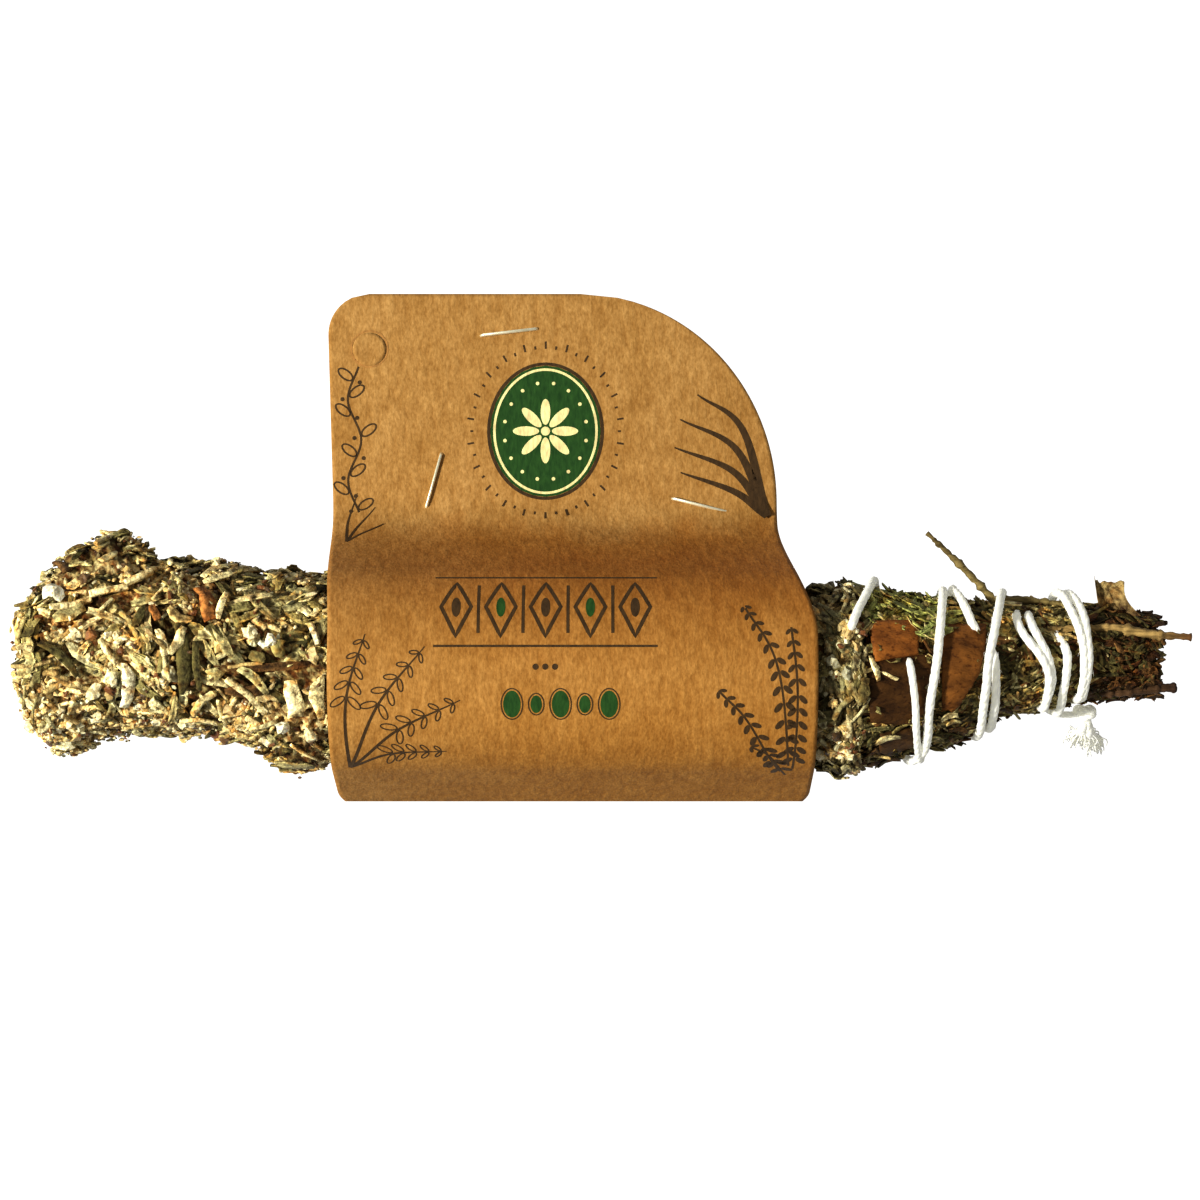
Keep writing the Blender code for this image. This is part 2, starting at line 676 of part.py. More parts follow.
def string_knot(home, route):
    """The knot under the handle, with its two frayed tails, next to the winding's end."""
    end = route[-1]
    middle = end + (route[-1] - route[-2]).normalized() * (STRING_RADIUS + GAP + 2.3)
    out = Vector((0, middle.y - axis_y(middle.x), middle.z - AXIS_HEIGHT)).normalized()
    middle = middle + out * 0.9
    shape = bmesh.new()
    bmesh.ops.create_icosphere(shape, subdivisions=2, radius=1.0)
    for vert in shape.verts:
        swell = 1.0 + 0.14 * math.sin(7.0 * vert.co.x + 4.0 * vert.co.z)
        bulge = Vector(c * s for c, s in zip(vert.co * swell, (1.9, 1.5, 1.35)))
        vert.co = (bulge + middle) * MM
    knot = solid_object("string_knot", shape, home)
    down = Vector((0, -0.75, -0.66))
    tails = []
    for k, (side, length) in enumerate(((0.5, 8.5), (-0.1, 7.0))):
        path = [middle + Vector((side * t, 0, 0)) * 5 + down * length * t for t in (0.0, 0.35, 0.7, 1.0)]
        path[1] += Vector((0, -0.9, 0.9))
        tails.append(baked(tube(f"tail_{k}", path, (0.8, 0.8, 1.1, 1.5), home, None, sides=8)))
    return finished(boolean(knot, "UNION", tails), "string_knot", ("cotton", COTTON), smooth=True)


# Kraft card


def arc_points(centre, radius, start, end, steps):
    """Points on an arc in the Y-Z plane, angles in degrees."""
    turns = [math.radians(start + (end - start) * k / steps) for k in range(steps + 1)]
    return [(centre[0] + radius * math.cos(t), centre[1] + radius * math.sin(t)) for t in turns]


def tangent_angle(point, centre, radius, side):
    """The angle of the point where a line from point touches the circle, on that side of it."""
    dy, dz = point[0] - centre[0], point[1] - centre[1]
    return math.degrees(math.atan2(dz, dy) + side * math.acos(radius / math.hypot(dy, dz)))


def back_of_header():
    """The back layer of the card, from the header's edge to the neck and on to the flat spot."""
    low = CARD_THICKNESS / 2
    neck_y, neck_z = CARD_NECK
    slope = []
    for t in (0.25, 0.5, 0.75, 1.0):
        slope.append((neck_y + (CARD_FLAT_HALF - neck_y) * t, low + (neck_z - low) * (1 - t) ** 1.6))
    return [CARD_TOP, *header_stations(), CARD_NECK, *slope]


def header_stations():
    """Where the header's outline bends, between its edge and the neck, as (y, z) on the back layer."""
    shares = (0.012, 0.04, 0.085, 0.13, 0.175, 0.25, 0.35, 0.5, 0.65, 0.82)
    return [tuple(a + (b - a) * s for a, b in zip(CARD_TOP, CARD_NECK)) for s in shares]


def card_section():
    """The card's middle line in (y, z): back of the header, flat spot, fold, front, front of the header."""
    low = CARD_THICKNESS / 2
    centre = (0.0, AXIS_HEIGHT)
    fold_y, fold_z = CARD_FOLD
    reach = fold_y + CARD_FOLD_RADIUS
    climb = fold_z - CARD_FOLD_RADIUS - low
    rise = []
    for t in (0.0, 0.3, 0.6, 0.85):
        rise.append((-CARD_FLAT_HALF + (reach + CARD_FLAT_HALF) * t, low + climb * t**1.5))
    fold = arc_points((reach, fold_z), CARD_FOLD_RADIUS, 250, 165, 4)
    left_touch = tangent_angle(fold[-1], centre, CARD_WRAP_RADIUS, -1)
    lift = CARD_THICKNESS + GAP
    neck = (CARD_NECK[0] - 0.4, CARD_NECK[1] + lift + 0.25)
    right_touch = tangent_angle(neck, centre, CARD_WRAP_RADIUS, 1)
    wrap = arc_points(centre, CARD_WRAP_RADIUS, left_touch % 360, right_touch % 360, 14)
    header = [(y, z + lift) for y, z in reversed([CARD_TOP, *header_stations()])]
    return back_of_header() + rise + fold + wrap + [neck] + header


def header_left(y):
    """The header's left edge: a slight flare and a rounded corner."""
    flare = -46.2 - 1.6 * (y - CARD_NECK[0]) / (CARD_TOP[0] - CARD_NECK[0])
    over = max(y - (CARD_TOP[0] - HEADER_CORNER), 0.0)
    return flare + HEADER_CORNER - math.sqrt(HEADER_CORNER**2 - over**2)


def header_right(y):
    """The header's right edge: a big quarter-round from the top edge down to the neck."""
    share = max((y - HEADER_ROUND_START) / (CARD_TOP[0] - HEADER_ROUND_START), 0.0)
    return HEADER_ROUND_MIDDLE + HEADER_ROUND_WIDTH * math.sqrt(1.0 - share**2)


def card_edges(y, in_header):
    """The card's left and right edges at a place on its middle line."""
    if in_header:
        return header_left(y), header_right(y)
    # The loop is straight-sided, and the right side draws in towards the neck
    near = min(max((y - 6.0) / (CARD_NECK[0] - 6.0), 0.0), 1.0)
    ease = near * near * (3 - 2 * near)
    return CARD_LEFT - 1.3 * ease, CARD_RIGHT - 5.2 * ease


def header_plane():
    """Matrix whose Z is the header's front normal, for what is set in the header at (x, y)."""
    slope = math.atan2(CARD_TOP[1] - CARD_NECK[1], CARD_TOP[0] - CARD_NECK[0])
    return Matrix.Rotation(slope, 4, "X")


def header_place(x, y, above):
    """A point over the header's front face at x, y."""
    share = (y - CARD_NECK[0]) / (CARD_TOP[0] - CARD_NECK[0])
    back = CARD_NECK[1] + (CARD_TOP[1] - CARD_NECK[1]) * share
    front = back + CARD_THICKNESS + GAP + CARD_THICKNESS / 2
    return Vector((x, y, front + above))


def kraft_card(home):
    """One strip of card folded round the stick: an open sheet with its thickness added."""
    section = card_section()
    header_count = len(header_stations()) + 2
    points, faces = [], []
    for k, (y, z) in enumerate(section):
        in_header = k < header_count or k > len(section) - header_count
        left, right = card_edges(y, in_header)
        points += [(left, y, z), ((left + right) / 2, y, z), (right, y, z)]
    for k in range(len(section) - 1):
        a = 3 * k
        faces += [(a, a + 1, a + 4, a + 3), (a + 1, a + 2, a + 5, a + 4)]
    sheet = add_object("kraft_card", mesh_from("kraft_card", points, faces), home)
    shell = sheet.modifiers.new("Thickness", "SOLIDIFY")
    shell.thickness = CARD_THICKNESS * MM
    shell.offset = 0.0
    shell.use_even_offset = True
    card = boolean(baked(sheet), "DIFFERENCE", card_cutters(home), "EXACT")
    return finished(card, "kraft_card", ("kraft", KRAFT), smooth=True)


def card_cutters(home):
    """Slots for the staple legs, and the ring of the hang hole, which is scored and not punched out."""
    cutters = []
    for x, y, turn in STAPLES:
        lay = header_plane() @ Matrix.Rotation(math.radians(turn), 4, "Z")
        for side in (-1, 1):
            leg = lay.to_3x3() @ Vector((side * STAPLE_CROWN / 2, 0, 0))
            slot = bmesh.new()
            bmesh.ops.create_cube(slot, size=1.0)
            bmesh.ops.scale(slot, vec=Vector((STAPLE_SLOT, STAPLE_SLOT, 5.0)) * MM, verts=slot.verts)
            bmesh.ops.rotate(slot, matrix=lay.to_3x3(), verts=slot.verts)
            bmesh.ops.translate(slot, vec=(header_place(x, y, -0.6) + leg) * MM, verts=slot.verts)
            cutters.append(solid_object("staple_slot", slot, home))
    inside, outside = PUNCH_RADIUS - SCORE_WIDTH / 2, PUNCH_RADIUS + SCORE_WIDTH / 2
    groove = ((0.3, inside), (-SCORE_DEPTH, inside), (-SCORE_DEPTH, outside), (0.3, outside))
    ring = turned("punch_ring", groove + groove[:1], 24, home)
    lay = Matrix.Rotation(-math.pi / 2, 4, "Y")
    ring.matrix_world = Matrix.Translation(header_place(*PUNCH_CENTRE, 0.0) * MM) @ header_plane() @ lay
    cutters.append(baked(ring))
    return cutters


def staple(name, x, y, turn, home):
    """A wire staple: crown on the front, legs through both layers, ends bent back behind."""
    half = STAPLE_CROWN / 2
    top = STAPLE_WIRE / 2 + 0.15
    bottom = -(2 * CARD_THICKNESS + GAP) - STAPLE_WIRE / 2 - 0.2
    leg = [(-half + STAPLE_LEG_BEND, bottom - 0.05), (-half + 0.5, bottom), (-half, bottom + 0.4)]
    leg += [(-half, top - 0.3), (-half + 0.3, top)]
    outline = leg + [(-u, w) for u, w in reversed(leg)]
    lay = header_plane().to_3x3() @ Matrix.Rotation(math.radians(turn), 3, "Z")
    points = [header_place(x, y, 0.0) + lay @ Vector((u, 0, w)) for u, w in outline]
    return tube(name, points, [STAPLE_WIRE / 2] * len(points), home, ("staple_steel", STEEL), sides=8)


def build():
    for obj in list(bpy.data.objects):
        bpy.data.objects.remove(obj)
    home = bpy.data.collections.new("sage_smudge_stick")
    bpy.context.scene.collection.children.link(home)
    route = string_route()
    herb_crust(home, route[:11])
    stems(home)
    handle_leaves(home, [*bark_chips(home), *loose_twigs(home), leaf_curl(home)])
    cotton_string(home, route)
    string_knot(home, route)
    kraft_card(home)
    for number, (x, y, turn) in enumerate(STAPLES, 1):
        staple(f"staple_{number}", x, y, turn, home)


build()
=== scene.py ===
"""Looks of the sage smudge stick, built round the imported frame.

All shapes are worked out in millimetres in the part's own frame and become metres in make_mesh. The
stick lies along X with its burning end at -X, its card's header points to +Y, and +Z is up.
"""
import math
import random

import bmesh
import bpy
from mathutils import Matrix, Vector, noise


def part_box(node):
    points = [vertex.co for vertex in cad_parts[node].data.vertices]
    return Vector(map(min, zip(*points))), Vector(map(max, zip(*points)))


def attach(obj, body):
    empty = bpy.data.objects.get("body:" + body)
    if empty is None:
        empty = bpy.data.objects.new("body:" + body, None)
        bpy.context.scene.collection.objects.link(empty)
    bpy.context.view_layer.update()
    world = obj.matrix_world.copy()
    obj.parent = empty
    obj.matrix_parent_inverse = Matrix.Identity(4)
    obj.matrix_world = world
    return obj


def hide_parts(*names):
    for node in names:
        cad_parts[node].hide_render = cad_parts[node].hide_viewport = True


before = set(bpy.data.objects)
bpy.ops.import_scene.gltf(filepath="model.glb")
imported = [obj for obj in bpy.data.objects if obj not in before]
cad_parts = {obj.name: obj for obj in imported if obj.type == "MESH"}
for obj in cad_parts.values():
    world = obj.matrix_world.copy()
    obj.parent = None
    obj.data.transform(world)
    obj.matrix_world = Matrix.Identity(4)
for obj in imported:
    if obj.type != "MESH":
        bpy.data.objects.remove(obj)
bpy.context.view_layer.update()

MM = 0.001
# Air left between neighbouring pieces, as in the part's source
GAP = 0.3

# Where the photograph's camera stands: straight above the middle of the picture
CAMERA_HEIGHT = 558.0
CAMERA_TARGET = (0.0, 11.8)
SENSOR = 36.0
VIEW_WIDTH_AT_AXIS = 204.0

# The bundle, as in the part's source
STICK_START = -98.7
STICK_END = 99.2
AXIS_HEIGHT = 18.3
CRUST_END = 43.5
CRUST_BODY_RADIUS = 14.2
CRUST_BORE_RADIUS = 11.5
CRUST_CAP = 6.0
CRUST_FLOOR = 0.85
CRUST_LIMIT_IN_CARD = 17.4
MAT_START = 44.2
MAT_END = 90.0
MAT_RELIEF = 2.4
STRING_RADIUS = 0.8

# The card, as in the part's source
CARD_THICKNESS = 0.45
CARD_LEFT = -44.9
CARD_RIGHT = 35.9
CARD_FOLD = (-22.8, 9.0)
CARD_NECK = (24.8, 5.9)
CARD_TOP = (65.4, 0.8)
CARD_WRAP_RADIUS = 18.1
CARD_FLAT_HALF = 6.0
CARD_FOLD_RADIUS = 0.9
STAPLE_CROWN = 9.8
STAPLE_WIRE = 0.5
STAPLE_LEG_BEND = 3.6
STAPLES = ((-15.9, 58.6, 7.0), (-28.9, 32.5, 75.0), (17.4, 28.2, -14.0))
PUNCH_CENTRE = (-40.3, 55.6)
PUNCH_RADIUS = 3.2

# Dried herb colours in linear light
WHITE = (1.0, 0.97, 0.76)
CREAM = (1.0, 0.90, 0.57)
PALE = (0.85, 0.77, 0.47)
TAN = (0.62, 0.47, 0.22)
YELLOW = (0.82, 0.61, 0.26)
GREY_OLIVE = (0.54, 0.485, 0.255)
OLIVE = (0.32, 0.275, 0.115)
GREEN = (0.44, 0.47, 0.17)
DARK_OLIVE = (0.115, 0.10, 0.036)
ORANGE = (0.38, 0.17, 0.05)
UMBER = (0.15, 0.082, 0.028)
# A dark brown painted into the hollows and low places as shade, and the tint of some leaves at the handle's
# cut end
SHADE_BROWN = (0.095, 0.042, 0.012)
RUST = (0.21, 0.080, 0.018)
# Print colours, and the painted shade of the hang hole's cut ring
INKS = {
    "brown": (0.045, 0.024, 0.008),
    "green": (0.012, 0.056, 0.009),
    "cream": (0.66, 0.54, 0.27),
    "cut_ring_shade": (0.30, 0.155, 0.045),
}

# Shape of the bundle, as in the part's source


def smooth_between(x, knots):
    """The height at x of a smooth line through knots, which are (x, height) from left to right."""
    if x <= knots[0][0]:
        return knots[0][1]
    for (x0, y0), (x1, y1) in zip(knots, knots[1:]):
        if x <= x1:
            t = (x - x0) / (x1 - x0)
            return y0 + (y1 - y0) * t * t * (3 - 2 * t)
    return knots[-1][1]


# (x, y) along the bundle's middle line, (x, radius) of the leaves and (x, share) of the stems' spread
AXIS_KNOTS = (
    (-95, 2.5), (-78, 3.6), (-62, 3.2), (-47, 0.9), (-10, 0.0), (30, -0.8),
    (44, -1.3), (58, -0.6), (69, 1.9), (84, 2.9), (95, 2.5),
)
MAT_KNOTS = ((43, 13.4), (58, 10.7), (68, 7.9), (84, 6.5), (94, 5.4))
STEM_KNOTS = ((30, 1.0), (44, 1.02), (58, 0.78), (68, 0.55), (84, 0.41), (92, 0.36))


def axis_y(x):
    return smooth_between(x, AXIS_KNOTS)


def mat_radius(x):
    return smooth_between(x, MAT_KNOTS)


def on_bundle(x, angle, radius):
    """A point at this angle in degrees and radius in millimetres round the bundle's middle."""
    turn = math.radians(angle)
    return Vector((x, axis_y(x) + radius * math.cos(turn), AXIS_HEIGHT + radius * math.sin(turn)))


# The crust's broad lumps: how close they lie along and around it, and their height
LUMPS_ALONG = 0.11
LUMPS_AROUND = 2.1
LUMP_HEIGHT = 0.75
# The crust's clumps and hollows: middle along X, angle, height, half length, half angle
CLUMPS = (
    (-82.5, 4.0, 6.0, 6.0, 26.0),
    (-90.0, 186.0, 2.4, 5.0, 30.0),
    (-96.0, 120.0, 1.2, 6.0, 50.0),
    (-52.5, 190.0, 3.4, 6.5, 36.0),
    (-45.0, 150.0, 1.6, 14.0, 70.0),
    (-57.5, 4.0, -1.4, 3.0, 26.0),
    (-64.0, 95.0, 0.8, 8.0, 35.0),
    (-30.0, 300.0, 1.0, 30.0, 60.0),
    (0.0, 90.0, 1.2, 50.0, 70.0),
    (42.0, 180.0, 2.0, 7.0, 60.0),
    (42.0, 50.0, 1.2, 6.0, 50.0),
)


def angle_between(a, b):
    return abs((a - b + 180.0) % 360.0 - 180.0)


def crust_radius(x, angle):
    turn = math.radians(angle)
    spot = Vector((x * LUMPS_ALONG, LUMPS_AROUND * math.cos(turn), LUMPS_AROUND * math.sin(turn)))
    radius = CRUST_BODY_RADIUS + LUMP_HEIGHT * noise.noise(spot)
    for middle, at, height, half_length, half_angle in CLUMPS:
        along = (x - middle) / half_length
        around = angle_between(angle, at) / half_angle
        radius += height * math.exp(-along * along - around * around)
    return radius


def kept_inside(point):
    """The crust is pressed flat where it lies, and inside the card it stays clear of the card."""
    y, z = point.y, point.z - AXIS_HEIGHT
    reach = math.hypot(y, z)
    if CARD_LEFT - 5 < point.x < CARD_RIGHT + 3 and reach > CRUST_LIMIT_IN_CARD:
        y, z = y * CRUST_LIMIT_IN_CARD / reach, z * CRUST_LIMIT_IN_CARD / reach
    return Vector((point.x, y, max(z + AXIS_HEIGHT, CRUST_FLOOR)))


# Mesh helpers


class Batch:
    """Many small closed shapes gathered in one mesh, each with its own tint."""

    def __init__(self):
        self.points, self.faces, self.tints = [], [], []

    def add(self, points, faces, tint):
        self.add_shaded(points, faces, tint, [1.0] * len(points))

    def add_shaded(self, points, faces, tint, shades):
        base = len(self.points)
        self.points += points
        self.faces += [tuple(base + k for k in face) for face in faces]
        self.tints += [tuple(c * shade for c in tint) for shade in shades]


def make_mesh(name, points, faces, material, tints=None, smooth=True):
    mesh = bpy.data.meshes.new(name)
    mesh.from_pydata([tuple(c * MM for c in p) for p in points], [], faces)
    shape = bmesh.new()
    shape.from_mesh(mesh)
    bmesh.ops.recalc_face_normals(shape, faces=shape.faces)
    shape.to_mesh(mesh)
    shape.free()
    if smooth:
        mesh.shade_smooth()
    if tints:
        layer = mesh.attributes.new("tint", "FLOAT_COLOR", "POINT")
        layer.data.foreach_set("color", [c for tint in tints for c in (*tint, 1.0)])
    mesh.materials.append(material)
    piece = bpy.data.objects.new(name, mesh)
    bpy.context.scene.collection.objects.link(piece)
    return piece


def make_batch(name, batch, material, smooth=False):
    return make_mesh(name, batch.points, batch.faces, material, batch.tints, smooth)


def settle(piece, slot, *nodes):
    """The piece rides on the part and stands for these CAD nodes, which it hides. The slot is not used."""
    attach(piece, "root")
    if nodes:
        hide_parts(*nodes)


def varied(rng, colour, spread=0.25):
    """A colour a little lighter or darker, and a little warmer or cooler."""
    light = rng.uniform(1 - spread, 1 + spread)
    warm = rng.uniform(-0.06, 0.06)
    return tuple(max(c * light * (1 + w), 0.0) for c, w in zip(colour, (warm, 0.0, -warm)))


def dimmed(colour, share):
    """The colour at this share of its light."""
    return tuple(c * share for c in colour)


def clamped(share):
    """The share, kept between 0 and 1."""
    return min(max(share, 0.0), 1.0)


def blended(first, second, share):
    """The first colour turned into the second by this share."""
    share = clamped(share)
    return tuple(a + (b - a) * share for a, b in zip(first, second))


def next_round(loop):
    """Each point number of a closed loop with the one after it."""
    loop = list(loop)
    return zip(loop, loop[1:] + loop[:1])


def band(first, second):
    """Quads between two closed loops of point numbers."""
    return [(a, b, d, c) for (a, b), (c, d) in zip(next_round(first), next_round(second))]


def bands(loops):
    """Quads between each closed loop and the next."""
    return [face for first, second in zip(loops, loops[1:]) for face in band(first, second)]


def fan(loop, middle):
    """Triangles between a closed loop of point numbers and a point in its middle."""
    return [(a, b, middle) for a, b in next_round(loop)]


def loops_of(rows, count, start=0):
    """The point numbers of rows that follow each other, with count points in each."""
    return [range(start + k * count, start + (k + 1) * count) for k in range(rows)]


def rod_faces(rows, sides):
    """Faces of a closed rod made of rows of rings."""
    loops = loops_of(rows, sides)
    return [*bands(loops), tuple(reversed(loops[0])), tuple(loops[-1])]


def disc_faces(rings, count, inner=0, outer=-1):
    """Faces of a thin disc: two layers of rings, then the middle point of each layer."""
    layer = rings * count
    layers = [loops_of(rings, count), loops_of(rings, count, layer)]
    faces = band(layers[0][outer], layers[1][outer])
    for number, loops in enumerate(layers):
        faces += bands(loops) + fan(loops[inner], 2 * layer + number)
    return faces


def sheet_faces(rows, columns):
    """Faces of a bent sheet: two layers of rows and columns of points, closed round the rim."""
    layer = rows * columns
    faces = []
    for i in range(rows - 1):
        for j in range(columns - 1):
            a = i * columns + j
            faces.append((a, a + columns, a + columns + 1, a + 1))
            faces.append((layer + a, layer + a + 1, layer + a + columns + 1, layer + a + columns))
    rim = list(range(columns)) + [i * columns + columns - 1 for i in range(1, rows)]
    rim += [(rows - 1) * columns + j for j in range(columns - 2, -1, -1)]
    rim += [i * columns for i in range(rows - 2, 0, -1)]
    return faces + band(rim, [layer + k for k in rim])


def frames_along(line, side):
    """Each point of a line with two directions square to it, which twist as little as they can."""
    frames = []
    for k, point in enumerate(line):
        ahead = (line[min(k + 1, len(line) - 1)] - line[max(k - 1, 0)]).normalized()
        side = (side - ahead * side.dot(ahead)).normalized()
        frames.append((point, side, ahead.cross(side)))
    return frames


def swept(points, radii, sides, squeeze=1.0):
    """Points and faces of a closed round rod along a path, with a radius at each point."""
    frames = frames_along([Vector(p) for p in points], Vector((0, 0, 1)))
    ring_points = []
    for (point, side, other), radius in zip(frames, radii):
        for j in range(sides):
            turn = 2 * math.pi * j / sides
            way = side * math.cos(turn) + other * math.sin(turn) * squeeze
            ring_points.append(point + way * radius)
    return ring_points, rod_faces(len(frames), sides)


def smooth_path(points, per_span):
    """A smooth curve through points, with per_span steps between each two."""
    points = [Vector(p) for p in points]
    ends = [points[0] * 2 - points[1], *points, points[-1] * 2 - points[-2]]
    path = []
    for k in range(1, len(ends) - 2):
        p0, p1, p2, p3 = ends[k - 1 : k + 3]
        for step in range(per_span):
            t = step / per_span
            path.append(
                0.5 * (2 * p1 + (p2 - p0) * t + (2 * p0 - 5 * p1 + 4 * p2 - p3) * t**2
                       + (3 * p1 - p0 - 3 * p2 + p3) * t**3)
            )
    return [*path, points[-1]]


# Materials


def new_material(name, roughness, specular):
    material = bpy.data.materials.new(name)
    material.use_nodes = True
    tree = material.node_tree
    shader = tree.nodes["Principled BSDF"]
    shader.inputs["Roughness"].default_value = roughness
    shader.inputs["Specular IOR Level"].default_value = specular
    return material, tree, shader


def node(tree, kind, **inputs):
    made = tree.nodes.new(kind)
    for key, value in inputs.items():
        made.inputs[key.replace("_", " ")].default_value = value
    return made


def noise_factor(tree, scale, detail=3.0, stretch=(1, 1, 1), low=0.35, high=0.65):
    """A noise in object space, pushed to between 0 and 1, as an output socket."""
    place = node(tree, "ShaderNodeTexCoord")
    mapping = node(tree, "ShaderNodeMapping", Scale=stretch)
    cloud = node(tree, "ShaderNodeTexNoise", Scale=scale, Detail=detail, Roughness=0.6)
    spread = node(tree, "ShaderNodeMapRange", From_Min=low, From_Max=high)
    tree.links.new(place.outputs["Object"], mapping.inputs["Vector"])
    tree.links.new(mapping.outputs["Vector"], cloud.inputs["Vector"])
    tree.links.new(cloud.outputs["Fac"], spread.inputs["Value"])
    return spread.outputs["Result"]


def mixed(tree, factor, first, second, kind="MIX"):
    """A mix of two colours, each a tuple or an output socket, as an output socket."""
    mix = tree.nodes.new("ShaderNodeMix")
    mix.data_type = "RGBA"
    mix.blend_type = kind
    for socket, value in ((mix.inputs["Factor"], factor), (mix.inputs[6], first), (mix.inputs[7], second)):
        if isinstance(value, bpy.types.NodeSocket):
            tree.links.new(value, socket)
        elif isinstance(value, tuple):
            socket.default_value = (*value, 1.0)
        else:
            socket.default_value = value
    return mix.outputs[2]


def times(tree, colour, shade):
    """A colour multiplied by a shade, as an output socket."""
    return mixed(tree, 1.0, colour, shade, "MULTIPLY")


def tint_of(tree):
    """The tint that each point of the piece carries, as an output socket."""
    tint = tree.nodes.new("ShaderNodeAttribute")
    tint.attribute_name = "tint"
    return tint.outputs["Color"]


def bumped(tree, shader, height, strength, distance):
    bump = node(tree, "ShaderNodeBump", Strength=strength, Distance=distance)
    tree.links.new(height, bump.inputs["Height"])
    tree.links.new(bump.outputs["Normal"], shader.inputs["Normal"])


def herb_material(name, roughness, vein_scale):
    """Dried plant matter: each bit's own tint, mottled and stained, with a fibrous surface."""
    material, tree, shader = new_material(name, roughness, 0.25)
    tint = tint_of(tree)
    blotch = noise_factor(tree, 900.0, 4.0, low=0.36, high=0.62)
    dark = times(tree, tint, (0.36, 0.29, 0.20))
    light = times(tree, tint, (1.6, 1.55, 1.35))
    mottled = mixed(tree, blotch, dark, light)
    stained = times(tree, mottled, (1.05, 0.74, 0.42))
    stain = noise_factor(tree, 330.0, low=0.5, high=0.68)
    tree.links.new(mixed(tree, stain, mottled, stained), shader.inputs["Base Color"])
    bumped(tree, shader, noise_factor(tree, vein_scale, 4.0), 0.6, 0.0004)
    return material


def resin_material():
    """Pale resin and powder: waxy grains."""
    material, tree, shader = new_material("resin_grain", 0.45, 0.5)
    tint = tint_of(tree)
    dark = times(tree, tint, (0.60, 0.50, 0.34))
    colour = mixed(tree, noise_factor(tree, 1400.0, 4.0, low=0.32, high=0.55), dark, tint)
    tree.links.new(colour, shader.inputs["Base Color"])
    shader.inputs["Subsurface Weight"].default_value = 0.15
    shader.inputs["Subsurface Radius"].default_value = (0.002, 0.0015, 0.0008)
    shader.inputs["Subsurface Scale"].default_value = 0.5
    bumped(tree, shader, noise_factor(tree, 2500.0), 0.4, 0.0002)
    return material


def bark_material():
    """Rough inner bark: each chip's own colour, with streaks along the stick and dark pores."""
    material, tree, shader = new_material("bark", 0.68, 0.2)
    tint = tint_of(tree)
    streak = noise_factor(tree, 420.0, 6.0, (0.4, 1, 1), 0.34, 0.66)
    dark = times(tree, tint, (0.50, 0.42, 0.32))
    light = times(tree, tint, (1.4, 1.35, 1.25))
    pores = noise_factor(tree, 1700.0, 3.0, (0.6, 1, 1), 0.34, 0.46)
    streaked = mixed(tree, streak, dark, light)
    pored = times(tree, streaked, (0.5, 0.42, 0.34))
    tree.links.new(mixed(tree, pores, pored, streaked), shader.inputs["Base Color"])
    bumped(tree, shader, streak, 0.6, 0.0005)
    return material


def twig_material():
    material, tree, shader = new_material("twig_bark", 0.75, 0.25)
    tint = tint_of(tree)
    streak = noise_factor(tree, 1500.0, 4.0, (0.15, 1, 1))
    dark = times(tree, tint, (0.4, 0.38, 0.35))
    tree.links.new(mixed(tree, streak, dark, tint), shader.inputs["Base Color"])
    bumped(tree, shader, streak, 0.5, 0.0002)
    return material


def cotton_material():
    material, tree, shader = new_material("cotton_yarn", 0.9, 0.1)
    colour = mixed(tree, noise_factor(tree, 700.0), (0.95, 0.94, 0.83), (1.0, 1.0, 0.93))
    tree.links.new(colour, shader.inputs["Base Color"])
    shader.inputs["Subsurface Weight"].default_value = 0.5
    shader.inputs["Subsurface Radius"].default_value = (1.0, 1.0, 0.8)
    shader.inputs["Subsurface Scale"].default_value = 0.0006
    # Painted light: the yarn glows a little, so that it stays white where it is shaded
    shader.inputs["Emission Color"].default_value = (1.0, 0.99, 0.90, 1.0)
    shader.inputs["Emission Strength"].default_value = 0.16
    shader.inputs["Sheen Weight"].default_value = 0.4
    shader.inputs["Sheen Roughness"].default_value = 0.4
    bumped(tree, shader, noise_factor(tree, 5000.0, 2.0), 0.4, 0.0001)
    return material


# Painted shade on the card, from the stick's near side up to the header: share of the way and shade
NECK_SHADES = (
    (0.0, (1.0, 0.82, 0.44)),
    (0.20, (1.0, 0.86, 0.60)),
    (0.40, (1.0, 0.91, 0.76)),
    (0.53, (0.92, 0.79, 0.60)),
    (0.63, (0.84, 0.65, 0.42)),
    (0.71, (0.88, 0.65, 0.42)),
    (0.78, (0.98, 0.79, 0.54)),
    (0.86, (1.0, 1.0, 1.0)),
)


def neck_shade(tree):
    """The painted shade where the card bends at the neck: uneven along Y, and weaker to the left."""
    place = node(tree, "ShaderNodeTexCoord")
    apart = node(tree, "ShaderNodeSeparateXYZ")
    uneven = node(tree, "ShaderNodeMath")
    uneven.operation = "MULTIPLY_ADD"
    uneven.inputs[1].default_value = 0.007
    tree.links.new(noise_factor(tree, 95.0, 4.0, (1, 0.5, 0.5), 0.2, 0.8), uneven.inputs[0])
    tree.links.new(apart.outputs["Y"], uneven.inputs[2])
    run = node(tree, "ShaderNodeMapRange", From_Min=-0.0215, From_Max=0.0385)
    ramp = tree.nodes.new("ShaderNodeValToRGB")
    while len(ramp.color_ramp.elements) < len(NECK_SHADES):
        ramp.color_ramp.elements.new(0.5)
    for stop, (at, shade) in zip(ramp.color_ramp.elements, NECK_SHADES):
        stop.position = at
        stop.color = (*shade, 1.0)
    tree.links.new(place.outputs["Object"], apart.inputs["Vector"])
    tree.links.new(uneven.outputs["Value"], run.inputs["Value"])
    tree.links.new(run.outputs["Result"], ramp.inputs["Fac"])
    fade = node(tree, "ShaderNodeMapRange", From_Min=-0.046, From_Max=-0.012, To_Min=0.45, To_Max=1.0)
    tree.links.new(apart.outputs["X"], fade.inputs["Value"])
    return mixed(tree, fade.outputs["Result"], (1.0, 1.0, 1.0), ramp.outputs["Color"])


